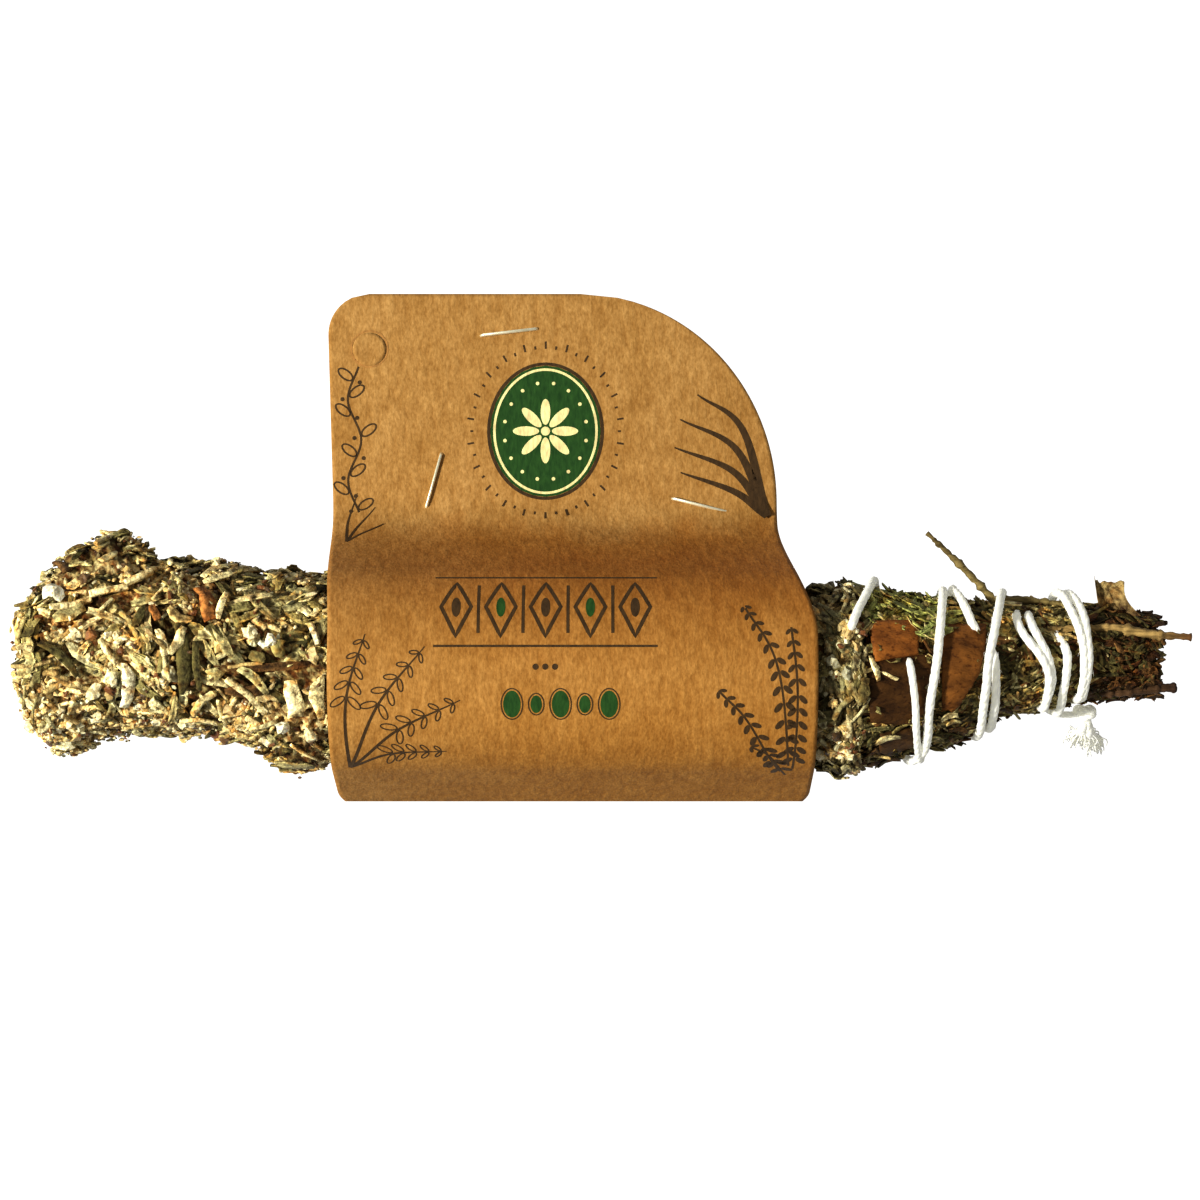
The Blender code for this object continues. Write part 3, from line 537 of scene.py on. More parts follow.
def kraft_material():
    """Uncoated kraft card: brown pulp with fibres that run up the card, with painted shade where it bends.
    """
    material, tree, shader = new_material("kraft_card", 0.8, 0.1)
    cloud = noise_factor(tree, 110.0, 4.0, (1, 0.5, 0.5), 0.3, 0.7)
    fibre = noise_factor(tree, 850.0, 5.0, (1, 0.42, 0.42), 0.32, 0.68)
    fine = noise_factor(tree, 2600.0, 3.0, (1, 0.5, 0.5), 0.32, 0.68)
    colour = mixed(tree, cloud, (0.480, 0.275, 0.086), (0.572, 0.350, 0.130))
    colour = mixed(tree, fibre, times(tree, colour, (0.74, 0.67, 0.55)), colour)
    dark = times(tree, colour, (0.76, 0.71, 0.62))
    light = times(tree, colour, (1.07, 1.07, 1.1))
    colour = mixed(tree, fine, dark, light)
    tree.links.new(times(tree, colour, neck_shade(tree)), shader.inputs["Base Color"])
    bumped(tree, shader, fibre, 0.4, 0.0002)
    return material


def ink_material(name, colour):
    """Print that has sunk into the card, so the pulp shows through it a little; the same look for the
    painted shade of the hang hole's cut ring.
    """
    material, tree, shader = new_material(name, 0.7, 0.25)
    worn = noise_factor(tree, 1800.0, 3.0, (1, 0.3, 0.3), 0.3, 0.75)
    lighter = tuple(min(c * 1.8 + extra, 1.0) for c, extra in zip(colour, (0.012, 0.008, 0.003)))
    tree.links.new(mixed(tree, worn, colour, lighter), shader.inputs["Base Color"])
    bumped(tree, shader, worn, 0.2, 0.0001)
    return material


def steel_material():
    material, tree, shader = new_material("staple_steel", 0.42, 0.5)
    shader.inputs["Metallic"].default_value = 0.55
    colour = mixed(tree, noise_factor(tree, 1500.0), (0.80, 0.76, 0.56), (0.95, 0.92, 0.74))
    tree.links.new(colour, shader.inputs["Base Color"])
    bumped(tree, shader, noise_factor(tree, 3000.0, 2.0, (1, 4, 1)), 0.15, 0.00005)
    return material


# Bits of dried herb: each shape is a list of local points (along, across, out), its faces and a painted
# shade for each point, and is laid in the frame of the surface that it rests on


# Along a leaf shred: share of its length, and its least and greatest share of the width there
LEAF_STATIONS = ((-0.5, 0.2, 0.75), (-0.27, 0.65, 1.0), (0.0, 0.8, 1.1), (0.27, 0.65, 1.0), (0.5, 0.2, 0.85))
LEAF_FACES = rod_faces(5, 6)
STALK_SIDES = 5
STALK_FACES = rod_faces(5, STALK_SIDES)


def leaf_bit(rng, length, width, thick, arch, curl):
    """A leaf shred: a folded blade of five stations, with painted highlights on its rims, one brighter than
    the other, and painted shade in its fold and underneath.
    """
    points, shades = [], []
    arch *= rng.choice((1.0, -1.0, -1.3))
    lean = rng.uniform(-0.5, 0.5) * width
    wides = [rng.uniform(least, most) for _, least, most in LEAF_STATIONS]
    for (share, _, _), wide in zip(LEAF_STATIONS, wides):
        half, bow = 0.5 * width * wide, arch * wide
        sway = lean * 4 * share * share + rng.uniform(-0.1, 0.1) * width
        rise = curl * 4 * share * share + rng.uniform(-0.12, 0.12)
        # Painted light and shade for each point: bright at the rims, dark in the fold and underneath
        ring = ((-half, -bow, 1.6), (0.0, 0.0, 0.6), (half, -bow, 1.2))
        ring += ((half, -bow - thick, 0.5), (0.0, -thick, 0.35), (-half, -bow - thick, 0.5))
        for b, c, shade in ring:
            points.append((share * length, b + sway, c + rise))
            shades.append(shade)
    return points, LEAF_FACES, shades


def stalk_bit(rng, length, width, curl):
    """A bit of broken stalk with pale cut ends, and painted shade on its underside."""
    points, shades = [], []
    bow = rng.uniform(-0.12, 0.12) * length
    middle = rng.uniform(0.85, 1.1)
    stations = ((-0.5, 0.8, 1.4), (-0.46, 1.0, 0.9), (0.0, middle, 1.0), (0.46, 1.0, 0.9), (0.5, 0.8, 1.4))
    for share, scale, shade in stations:
        for j in range(STALK_SIDES):
            turn = 2 * math.pi * j / STALK_SIDES
            b = 0.5 * width * scale * math.cos(turn) + bow * 4 * share * share
            c = 0.42 * width * scale * math.sin(turn) + curl * 4 * share * share
            points.append((share * length, b, c))
            # Painted shade: the underside is darker
            shades.append(shade * (0.75 if math.sin(turn) < -0.3 else 1.0))
    return points, STALK_FACES, shades


def ball(subdivisions):
    shape = bmesh.new()
    bmesh.ops.create_icosphere(shape, subdivisions=subdivisions, radius=0.5)
    points = [v.co.copy() for v in shape.verts]
    faces = [tuple(v.index for v in f.verts) for f in shape.faces]
    shape.free()
    return points, faces


BALLS = (ball(1), ball(2))
# Twice the radius that the bits are bent to
BEND_WIDTH = 28.0


def grain_bit(rng, size, fine=0):
    """A crumb of resin or leaf: an uneven ball of this length, width and height, with painted light: paler
    on top and where it bulges, darker underneath.
    """
    base, faces = BALLS[fine]
    shift = Vector(rng.uniform(0, 50) for _ in range(3))
    points, shades = [], []
    for p in base:
        swell = 1.0 + 0.8 * noise.noise(p * 2.6 + shift)
        points.append((p.x * size[0] * swell, p.y * size[1] * swell, p.z * size[2] * swell))
        # Painted light: paler on top and where the ball bulges, darker underneath and in its dents
        shades.append(0.75 + 0.45 * (swell - 0.6) + 0.3 * p.z)
    return points, faces, shades


def lay(batch, surface, s, angle, heading, rise, tilt, shape, tint):
    """Puts a shape on a surface: turned by heading, raised, tilted and bent round with the surface."""
    spot, out, along = surface(s, angle)
    around = out.cross(along)
    cos_h, sin_h = math.cos(heading), math.sin(heading)
    ahead = along * cos_h + around * sin_h
    across = out.cross(ahead)
    points, faces, shades = shape
    placed = []
    for a, b, c in points:
        sideways = a * sin_h + b * cos_h
        lift = c + rise + tilt[0] * a + tilt[1] * b - sideways * sideways / BEND_WIDTH
        placed.append(kept_inside(spot + ahead * a + across * b + out * lift))
    batch.add_shaded(placed, faces, tint, shades)


# Crumbled herb crust

# The blunt end's profile from its middle outward: x and the share of the crust's radius
END_PROFILE = ((-98.3, 0.0), (-98.2, 0.30), (-97.8, 0.54), (-96.9, 0.76), (-95.4, 0.91), (-93.0, 1.0))
# Holes and deep places in the crust: x, angle, radius and depth
PITS = (
    (-92.5, 108, 2.1, 2.6), (-68.7, 98, 1.8, 1.6), (-84.0, 99, 1.2, 1.2), (-64.0, 88, 1.4, 1.3),
    (-61.5, 117, 1.8, 1.5), (-56.0, 95, 1.6, 1.3), (-95.5, 140, 1.4, 1.4), (-83.0, 131, 0.9, 1.0),
    (-74.5, 30, 1.8, 1.4), (-88.0, 88, 1.4, 1.3), (-53.5, 52, 1.7, 1.4), (-79.0, 72, 1.4, 1.2),
    (-71.0, 122, 1.2, 1.0), (-50.0, 85, 1.4, 1.2), (-96.0, 60, 1.2, 1.2), (-56.3, 8, 2.2, 1.9),
    (-97.0, 5, 6.0, 2.4), (-97.5, 40, 4.0, 1.2), (-89.2, 12, 3.6, -2.6), (-84.6, 12, 2.2, -1.6),
    (-83.2, 10, 1.4, -2.4),
)
# What the photograph shows on the crust: kind, one end and the other (x, angle), width and colour
CRUST_BITS = (
    ("stalk", (-91.5, 58), (-84.6, 51), 1.6, CREAM),
    ("stalk", (-85.0, 51), (-78.6, 45), 1.6, CREAM),
    ("stalk", (-79.0, 46), (-74.8, 34), 1.5, CREAM),
    ("leaf", (-83.8, 28), (-82.8, 9), 2.0, GREY_OLIVE),
    ("stalk", (-84.8, 24), (-82.7, 7), 1.0, PALE),
    ("stalk", (-75.4, 38), (-73.0, 16), 1.1, TAN),
    ("leaf", (-90.4, 68), (-85.6, 58), 2.6, GREY_OLIVE),
    ("leaf", (-91.2, 16), (-88.6, 30), 2.2, UMBER),
    ("leaf", (-92.1, 80), (-86.0, 102), 1.7, DARK_OLIVE),
    ("stalk", (-92.6, 78), (-86.7, 107), 0.9, CREAM),
    ("grain", (-84.0, 113), (-83.8, 120), 2.4, CREAM),
    ("grain", (-84.2, 76), (-84.2, 82), 1.9, ORANGE),
    ("stalk", (-83.3, 84), (-79.2, 104), 1.3, CREAM),
    ("leaf", (-77.8, 99), (-78.3, 130), 2.4, WHITE),
    ("leaf", (-72.8, 76), (-71.4, 93), 1.5, CREAM),
    ("leaf", (-68.6, 75), (-70.7, 93), 1.8, PALE),
    ("leaf", (-68.8, 72), (-68.6, 118), 2.5, DARK_OLIVE),
    ("leaf", (-66.8, 83), (-66.3, 115), 1.3, DARK_OLIVE),
    ("leaf", (-74.3, 62), (-73.1, 72), 1.4, ORANGE),
    ("leaf", (-71.9, 65), (-67.8, 73), 2.0, TAN),
    ("leaf", (-66.1, 46), (-64.1, 70), 2.6, ORANGE),
    ("leaf", (-66.9, 50), (-64.4, 71), 0.8, CREAM),
    ("leaf", (-62.2, 51), (-63.4, 70), 1.3, CREAM),
    ("leaf", (-67.4, 30), (-62.6, 4), 1.8, PALE),
    ("leaf", (-66.1, 42), (-61.0, 31), 1.5, PALE),
    ("grain", (-58.4, 74), (-57.8, 80), 2.1, CREAM),
    ("grain", (-54.4, 76), (-54.2, 82), 1.8, WHITE),
    ("stalk", (-61.3, 103), (-55.2, 128), 1.3, CREAM),
    ("stalk", (-68.3, 133), (-64.4, 115), 1.4, PALE),
    ("leaf", (-62.5, 97), (-47.9, 94), 1.6, UMBER),
    ("stalk", (-61.5, 98), (-55.8, 95), 0.7, TAN),
    ("leaf", (-50.9, 99), (-49.8, 124), 3.3, CREAM),
    ("leaf", (-46.6, 94), (-46.8, 123), 2.6, PALE),
    ("grain", (-53.0, 127), (-52.5, 134), 2.2, WHITE),
    ("grain", (-48.4, 130), (-47.9, 136), 2.0, CREAM),
    ("leaf", (-54.6, 158), (-48.0, 164), 3.2, GREY_OLIVE),
    ("stalk", (-51.7, 138), (-46.9, 160), 0.7, CREAM),
    ("stalk", (-47.9, 63), (-46.5, 77), 1.2, WHITE),
    ("leaf", (-47.8, 56), (-45.6, 41), 1.5, CREAM),
    ("grain", (-91.6, 38), (-90.8, 49), 3.4, WHITE),
    ("leaf", (-87.0, 4), (-85.4, 16), 1.6, PALE),
    ("leaf", (-83.7, 34), (-81.2, 22), 1.6, PALE),
    ("leaf", (-78.0, 57), (-73.2, 51), 1.8, GREY_OLIVE),
    ("stalk", (-83.2, 65), (-81.0, 55), 0.8, PALE),
    ("leaf", (-62.1, 115), (-56.0, 114), 2.2, UMBER),
    ("stalk", (-63.7, 122), (-62.8, 143), 0.8, PALE),
    ("stalk", (-70.1, 138), (-63.8, 141), 1.0, CREAM),
    ("leaf", (-57.8, 88), (-55.2, 92), 2.0, OLIVE),
    ("leaf", (-75.3, 62), (-77.1, 76), 1.4, DARK_OLIVE),
    ("leaf", (-67.2, 6), (-70.5, 28), 2.0, DARK_OLIVE),
    ("leaf", (-52.9, 77), (-53.5, 88), 2.3, OLIVE),
)
# Heaps of pale crumbs: the middle (x, angle) and how far it reaches
CRUMB_HEAPS = (
    ((41.6, 58), 2.2), ((40.4, 68), 1.3), ((38.8, 88), 0.8), ((38.4, 104), 0.8), ((41.8, 128), 2.3),
    ((41.2, 140), 1.5), ((43.0, 166), 1.4), ((41.6, 20), 1.2), ((-57.6, 77), 1.5), ((-80.5, 120), 1.6),
    ((-76.0, 131), 1.8), ((-73.0, 112), 1.4),
)


def measured(profile):
    """The profile with the distance run along it to each point."""
    out, run, last = [], 0.0, None
    for x, share in profile:
        here = (x, share * CRUST_BODY_RADIUS)
        run += math.dist(last, here) if last else 0.0
        out.append((run, x, share))
        last = here
    return out


END_RUN = measured(END_PROFILE)
END_LENGTH = END_RUN[-1][0]
END_EDGE = END_PROFILE[-1][0]


def run_at(x):
    """The distance along the crust from the middle of its blunt end to x."""
    return END_LENGTH + x - END_EDGE


def profile_at(s):
    """x, the share of the radius, and how far the way out points along X and away from the middle."""
    if s >= END_LENGTH:
        return s - END_LENGTH + END_EDGE, 1.0, 0.0, 1.0
    k = max(k for k in range(len(END_RUN) - 1) if END_RUN[k][0] <= s)
    (s0, x0, w0), (s1, x1, w1) = END_RUN[k], END_RUN[k + 1]
    t = (s - s0) / (s1 - s0)
    dx, dr = x1 - x0, (w1 - w0) * CRUST_BODY_RADIUS
    size = math.hypot(dx, dr)
    return x0 + dx * t, w0 + (w1 - w0) * t, -dr / size, dx / size


PIT_SPOTS = [(on_bundle(x, a, CRUST_BODY_RADIUS + 0.5), r, d) for x, a, r, d in PITS]


def crust_relief(spot):
    """How far the crumbly surface stands out of the crust's smooth shape."""
    lumps = 1.3 * noise.noise(spot * 0.30) + 1.3 * noise.noise(spot * 0.75)
    relief = lumps + 0.5 * noise.noise(spot * 1.8) - 0.9
    for middle, radius, depth in PIT_SPOTS:
        away = (spot - middle).length / radius
        if away < 2.0:
            relief -= depth * math.exp(-away * away)
    return relief


def crumbly(spot, angle):
    """From 0 where leaf shreds lie to 1 where pale crumbs hide everything."""
    share = (0.28 if spot.x < 30 else 0.0) + 1.5 * noise.noise(spot * 0.14 + Vector((2, 9, 4)))
    low = math.exp(-((angle_between(angle, 160.0) / 75.0) ** 2))
    share += low * clamped((-82.0 - spot.x) / 8.0) + 0.32 * low
    share += 0.5 * clamped((-93.5 - spot.x) / 3.0)
    return clamped(share)


def crust_place(s, angle):
    """A point on the crust, the way out of it and the way along it."""
    x, share, out_x, out_r = profile_at(s)
    turn = math.radians(angle)
    cos_t, sin_t = math.cos(turn), math.sin(turn)
    out = Vector((out_x, out_r * cos_t, out_r * sin_t))
    along = Vector((out_r, -out_x * cos_t, -out_x * sin_t))
    spot = on_bundle(x, angle, crust_radius(x, angle) * share)
    return spot + out * crust_relief(spot), out, along


CRUST_SIDES = 240
# The rows of points inside the crust's bore and how far apart they are
BORE_ROWS = 17
BORE_STEP = 8.0


def crust_core():
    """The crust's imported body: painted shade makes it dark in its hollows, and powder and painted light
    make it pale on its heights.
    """
    # Rows lie close at the burning end, wide apart inside the card and close again past it
    runs = [0.3 + 0.45 * k for k in range(int(run_at(-44.0) / 0.45))]
    runs += [run_at(-43.5 + 4.0 * k) for k in range(20)]
    runs += [run_at(36.5 + 0.5 * k) for k in range(15)]
    points, tints = [], []
    rng = random.Random(5)
    for s in runs:
        for j in range(CRUST_SIDES):
            angle = 360.0 * j / CRUST_SIDES
            place, out, _ = crust_place(s, angle)
            crumb = crumbly(place, angle)
            fine = noise.noise(place + Vector((3, 8, 5))) + 0.6 * noise.noise(place * 2.4)
            points.append(kept_inside(place + out * fine * 0.7 * crumb))
            # Painted shade and light: the lower a point lies in the relief, the darker its tint, and the
            # higher, the paler
            low = blended(SHADE_BROWN, RUST, crumb)
            high = blended(OLIVE, blended(YELLOW, CREAM, 0.5 + fine), crumb)
            tints.append(varied(rng, blended(low, high, 0.25 + 0.35 * crumb + 1.5 * fine), 0.2))
    for k in range(BORE_ROWS):
        for j in range(CRUST_SIDES):
            angle = 360.0 * j / CRUST_SIDES
            points.append(on_bundle(CRUST_END - BORE_STEP * k, angle, CRUST_BORE_RADIUS + 0.2))
    loops = loops_of(len(runs) + BORE_ROWS, CRUST_SIDES)
    count = len(points)
    faces = bands(loops) + fan(loops[0], count) + fan(reversed(loops[-1]), count + 1)
    points += [crust_place(0.01, 0)[0], on_bundle(STICK_START + CRUST_CAP + 1.0, 0, 0)]
    tints += [UMBER] * (len(points) - len(tints))
    piece = make_mesh("crust_core", points, faces, herb_material("crust_powder_and_shade", 0.9, 2600.0), tints)
    settle(piece, "crumbled_herb", "herb_crust")


# The crust's usual radius, which turns angles into millimetres round it
CRUST_REACH = 15.0


def near_seen(x, angle):
    """True where the bits listed one by one lie, which others must not cover."""
    for _, (x0, a0), (x1, a1), width, _ in CRUST_BITS:
        dx, da = x1 - x0, math.radians(a1 - a0) * CRUST_REACH
        away_x, away_a = x - x0, math.radians(angle - a0) * CRUST_REACH
        size = dx * dx + da * da or 1.0
        t = clamped((away_x * dx + away_a * da) / size)
        if math.hypot(away_x - dx * t, away_a - da * t) < width / 2 + 0.9:
            return True
    return False


# Which tints the scattered bits take, the commoner ones more than once
STALK_TINTS = (CREAM, CREAM, PALE, TAN, GREY_OLIVE)
GRAIN_TINTS = (CREAM, CREAM, CREAM, YELLOW, YELLOW, TAN, PALE, UMBER, RUST)
LEAF_TINTS = (GREY_OLIVE, GREY_OLIVE, GREY_OLIVE, OLIVE, OLIVE, DARK_OLIVE, PALE)
DUST_TINTS = (CREAM, YELLOW, PALE, TAN, UMBER, RUST, OLIVE, DARK_OLIVE)
HEAP_TINTS = (CREAM, CREAM, WHITE, YELLOW, PALE, RUST)
HEAP_TINTS_AT_HANDLE = (CREAM, YELLOW, YELLOW, TAN, PALE, RUST)
# How many bits lie at the burning end, inside the card and past it, and how many specks of powder
BITS_AT_END = 6800
BITS_IN_CARD = 420
BITS_PAST_CARD = 800
DUST_SPECKS = 3000


def scatter_crust(batches, rng, count, start, end):
    """Leaf shreds, broken stalks and crumbs over a stretch of the crust, in patches of their own kind."""
    for _ in range(count):
        s, angle = rng.uniform(start, end), rng.uniform(0, 360)
        x, share, _, _ = profile_at(s)
        if rng.random() > share or near_seen(x, angle):
            continue
        crumb = crumbly(on_bundle(x, angle, CRUST_BODY_RADIUS * share), angle)
        heading = rng.uniform(0, math.pi) if x < 38.0 else rng.gauss(math.pi / 2, 0.45)
        # Painted shadow: past the card's right edge the bits are darker, as in the card's shadow
        dim = 0.62 if x > 36.0 else 1.0
        at_side = min(angle_between(angle, 0), angle_between(angle, 180)) < 38
        trim = 0.6 if at_side or s < 13.0 else 1.0
        tilt = (rng.gauss(0, 0.07), rng.gauss(0, 0.16))
        kind = rng.random()
        if kind < 0.26:
            name, tint = "stalk", varied(rng, rng.choice(STALK_TINTS))
            length, width = trim * rng.uniform(2.5, 8.5), rng.uniform(0.5, 1.2)
            shape = stalk_bit(rng, length, width, rng.uniform(-0.3, 0.1))
            rise = rng.uniform(0.1, 0.6)
        elif kind < 0.24 + 0.76 * crumb:
            size = rng.uniform(0.5, 1.3) if rng.random() < 0.85 else rng.uniform(1.3, 2.4)
            name, tint = "grain", varied(rng, rng.choice(GRAIN_TINTS))
            sizes = (size * rng.uniform(0.9, 1.6), size, size * rng.uniform(0.6, 1.0))
            shape = grain_bit(rng, sizes, int(size > 1.1))
            rise, tilt = rng.uniform(-0.1, 0.5), (0, 0)
        elif rng.random() < (0.85 if s > 12.0 else 0.4):
            name, tint = "leaf", varied(rng, rng.choice(LEAF_TINTS), 0.35)
            curl = rng.uniform(-0.5, 0.2)
            length, width = trim * rng.uniform(2.4, 7.6), rng.uniform(0.9, 2.2)
            shape = leaf_bit(rng, length, width, 0.3, rng.uniform(0.2, 0.6), curl)
            rise = rng.uniform(0.2, 1.0)
        else:
            continue
        lay(batches[name], crust_place, s, angle, heading, rise, tilt, shape, dimmed(tint, dim))


def dust(batches, rng, count):
    """Fine powder and chaff that lies over everything else on the crust."""
    for _ in range(count):
        s, angle = rng.uniform(0.0, run_at(-44.0)), rng.uniform(0, 360)
        x, share, _, _ = profile_at(s)
        if rng.random() > share or (near_seen(x, angle) and rng.random() < 0.8):
            continue
        size = rng.uniform(0.35, 0.85)
        tint = varied(rng, rng.choice(DUST_TINTS))
        shape = grain_bit(rng, (size * rng.uniform(1.0, 2.4), size, size * 0.7))
        heading = rng.uniform(0, math.pi)
        lay(batches["grain"], crust_place, s, angle, heading, rng.uniform(0.5, 1.35), (0, 0), shape, tint)


def crumb_heap(batches, rng, middle, reach):
    """A heap of pale crumbs round one place (x, angle)."""
    for _ in range(int(17 * reach * reach)):
        x = middle[0] + rng.gauss(0, 0.45) * reach
        angle = middle[1] + math.degrees(rng.gauss(0, 0.45) * reach / CRUST_REACH)
        size = rng.uniform(0.4, 1.25)
        tint = varied(rng, rng.choice(HEAP_TINTS_AT_HANDLE if x > 36 else HEAP_TINTS))
        shape = grain_bit(rng, (size * rng.uniform(0.9, 1.7), size, size * 0.8), int(size > 1.1))
        heading = rng.uniform(0, math.pi)
        rise = rng.uniform(0.2, 1.0)
        lay(batches["grain"], crust_place, run_at(x), angle, heading, rise, (0, 0), shape, tint)


def seen_bits(batches, rng):
    """The bits that the photograph shows one by one."""
    for kind, (x0, a0), (x1, a1), width, tint in CRUST_BITS:
        x, angle = (x0 + x1) / 2, (a0 + a1) / 2
        over = -math.radians(a1 - a0) * CRUST_REACH
        length = max(math.hypot(x1 - x0, over), width)
        heading = math.atan2(over, x1 - x0)
        if kind == "leaf":
            shape = leaf_bit(rng, length, width, 0.35, 0.25, 0.2)
        elif kind == "stalk":
            shape = stalk_bit(rng, length, width, 0.1)
        else:
            shape = grain_bit(rng, (width * 1.15, width, width * 0.9), 1)
        lay(batches[kind], crust_place, run_at(x), angle, heading, 1.55, (0, 0), shape, tint)


def crust_bits():
    rng = random.Random(21)
    batches = {"leaf": Batch(), "stalk": Batch(), "grain": Batch()}
    scatter_crust(batches, rng, BITS_AT_END, 0.0, run_at(-44.4))
    scatter_crust(batches, rng, BITS_IN_CARD, run_at(-44.4), run_at(36.0))
    scatter_crust(batches, rng, BITS_PAST_CARD, run_at(36.0), run_at(CRUST_END))
    for middle, reach in CRUMB_HEAPS:
        crumb_heap(batches, rng, middle, reach)
    seen_bits(batches, rng)
    dust(batches, rng, DUST_SPECKS)
    leaf_look = herb_material("leaf_shred", 0.7, 2200.0)
    leaves = make_batch("crust_leaf_shreds", batches["leaf"], leaf_look, True)
    stalk_look = herb_material("stalk_bit", 0.75, 2600.0)
    stalks = make_batch("crust_stalk_bits", batches["stalk"], stalk_look, True)
    grains = make_batch("crust_resin_grains", batches["grain"], resin_material())
    for piece in (leaves, stalks, grains):
        settle(piece, "crumbled_herb")


# Handle


def handle_place(x, angle):
    """A point on the leaves of the handle, the way out of them and the way along them."""
    turn = math.radians(angle)
    slope = (mat_radius(x + 1.0) - mat_radius(x - 1.0)) / 2
    along = Vector((1.0, slope * math.cos(turn), slope * math.sin(turn))).normalized()
    out = Vector((-slope, math.cos(turn), math.sin(turn))).normalized()
    return on_bundle(x, angle, mat_radius(x) + 0.7), out, along


HANDLE_SIDES = 140
HANDLE_STEP = 0.6


def handle_core():
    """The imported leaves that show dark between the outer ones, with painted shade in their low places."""
    steps = int((MAT_END - MAT_START) / HANDLE_STEP) + 1
    stations = [MAT_START + HANDLE_STEP * k for k in range(steps)]
    points, tints = [], []
    rng = random.Random(8)
    rings = [(x, False) for x in stations] + [(x, True) for x in reversed(stations[::6])]
    for x, inside in rings:
        for j in range(HANDLE_SIDES):
            angle = 360.0 * j / HANDLE_SIDES
            spot = on_bundle(x, angle, mat_radius(x))
            ridge = noise.noise(Vector((spot.x * 0.25, spot.y * 1.1, spot.z * 1.1)))
            reach = mat_radius(x) - 0.8 if inside else mat_radius(x) + 0.5 + 0.8 * ridge
            points.append(on_bundle(x, angle, reach))
            # Painted shade: points that lie low between the ridges take the darker brown
            tints.append(varied(rng, UMBER if ridge > 0.1 else SHADE_BROWN, 0.3))
    loops = loops_of(len(rings), HANDLE_SIDES)
    faces = bands([*loops, loops[0]])
    piece = make_mesh("handle_core", points, faces, herb_material("packed_leaf", 0.85, 1500.0), tints)
    settle(piece, "sage_leaf", "handle_leaves")


def in_bark(x, angle):
    """True over the bark chips, where no leaves lie."""
    return any(inside_outline(x, angle % 360.0, outline) for outline in BARK_CHIPS.values())


def inside_outline(x, angle, outline):
    inside = False
    for (x0, a0), (x1, a1) in zip(outline, outline[1:] + outline[:1]):
        if (a0 > angle) != (a1 > angle) and x < (x1 - x0) * (angle - a0) / (a1 - a0) + x0:
            inside = not inside
    return inside


# Pale bits that show on the handle: one end and the other (x, angle), width and colour
HANDLE_BITS = (
    ((45.2, 133), (49.6, 129), 1.3, PALE),
    ((56.6, 124), (59.4, 119), 1.1, PALE),
    ((57.5, 130), (60.0, 127), 0.9, GREY_OLIVE),
    ((44.6, 74), (46.0, 92), 1.2, CREAM),
    ((66.8, 24), (71.0, 30), 1.3, PALE),
    ((56.0, 18), (60.0, 26), 1.0, PALE),
    ((46.5, 40), (51.0, 30), 1.5, GREEN),
    ((49.0, 24), (54.5, 36), 1.5, GREEN),
    ((52.0, 44), (55.8, 34), 1.3, GREEN),
    ((46.0, 22), (50.0, 14), 1.5, GREEN),
    ((53.0, 20), (57.5, 24), 1.4, GREEN),
    ((48.0, 34), (52.5, 42), 1.2, GREEN),
    ((47.0, 30), (49.5, 40), 1.2, GREEN),
    ((51.0, 16), (54.0, 12), 1.4, GREEN),
)


# Which tints the handle's bits take, the commoner ones more than once; dimmer at the cut end
HANDLE_LEAF_TINTS = (DARK_OLIVE, DARK_OLIVE, UMBER, OLIVE, OLIVE, GREY_OLIVE)
SPRIG_TINTS = (GREEN, GREEN, GREEN, GREY_OLIVE)
END_LEAF_TINTS = (UMBER, UMBER, DARK_OLIVE, DARK_OLIVE, SHADE_BROWN)
HANDLE_STALK_TINTS = (TAN, PALE, UMBER, UMBER, GREY_OLIVE, OLIVE)
END_STALK_TINTS = (UMBER, DARK_OLIVE)
HANDLE_BIT_COUNT = 4600
# Where the handle's dim cut end starts
DIM_END = 84


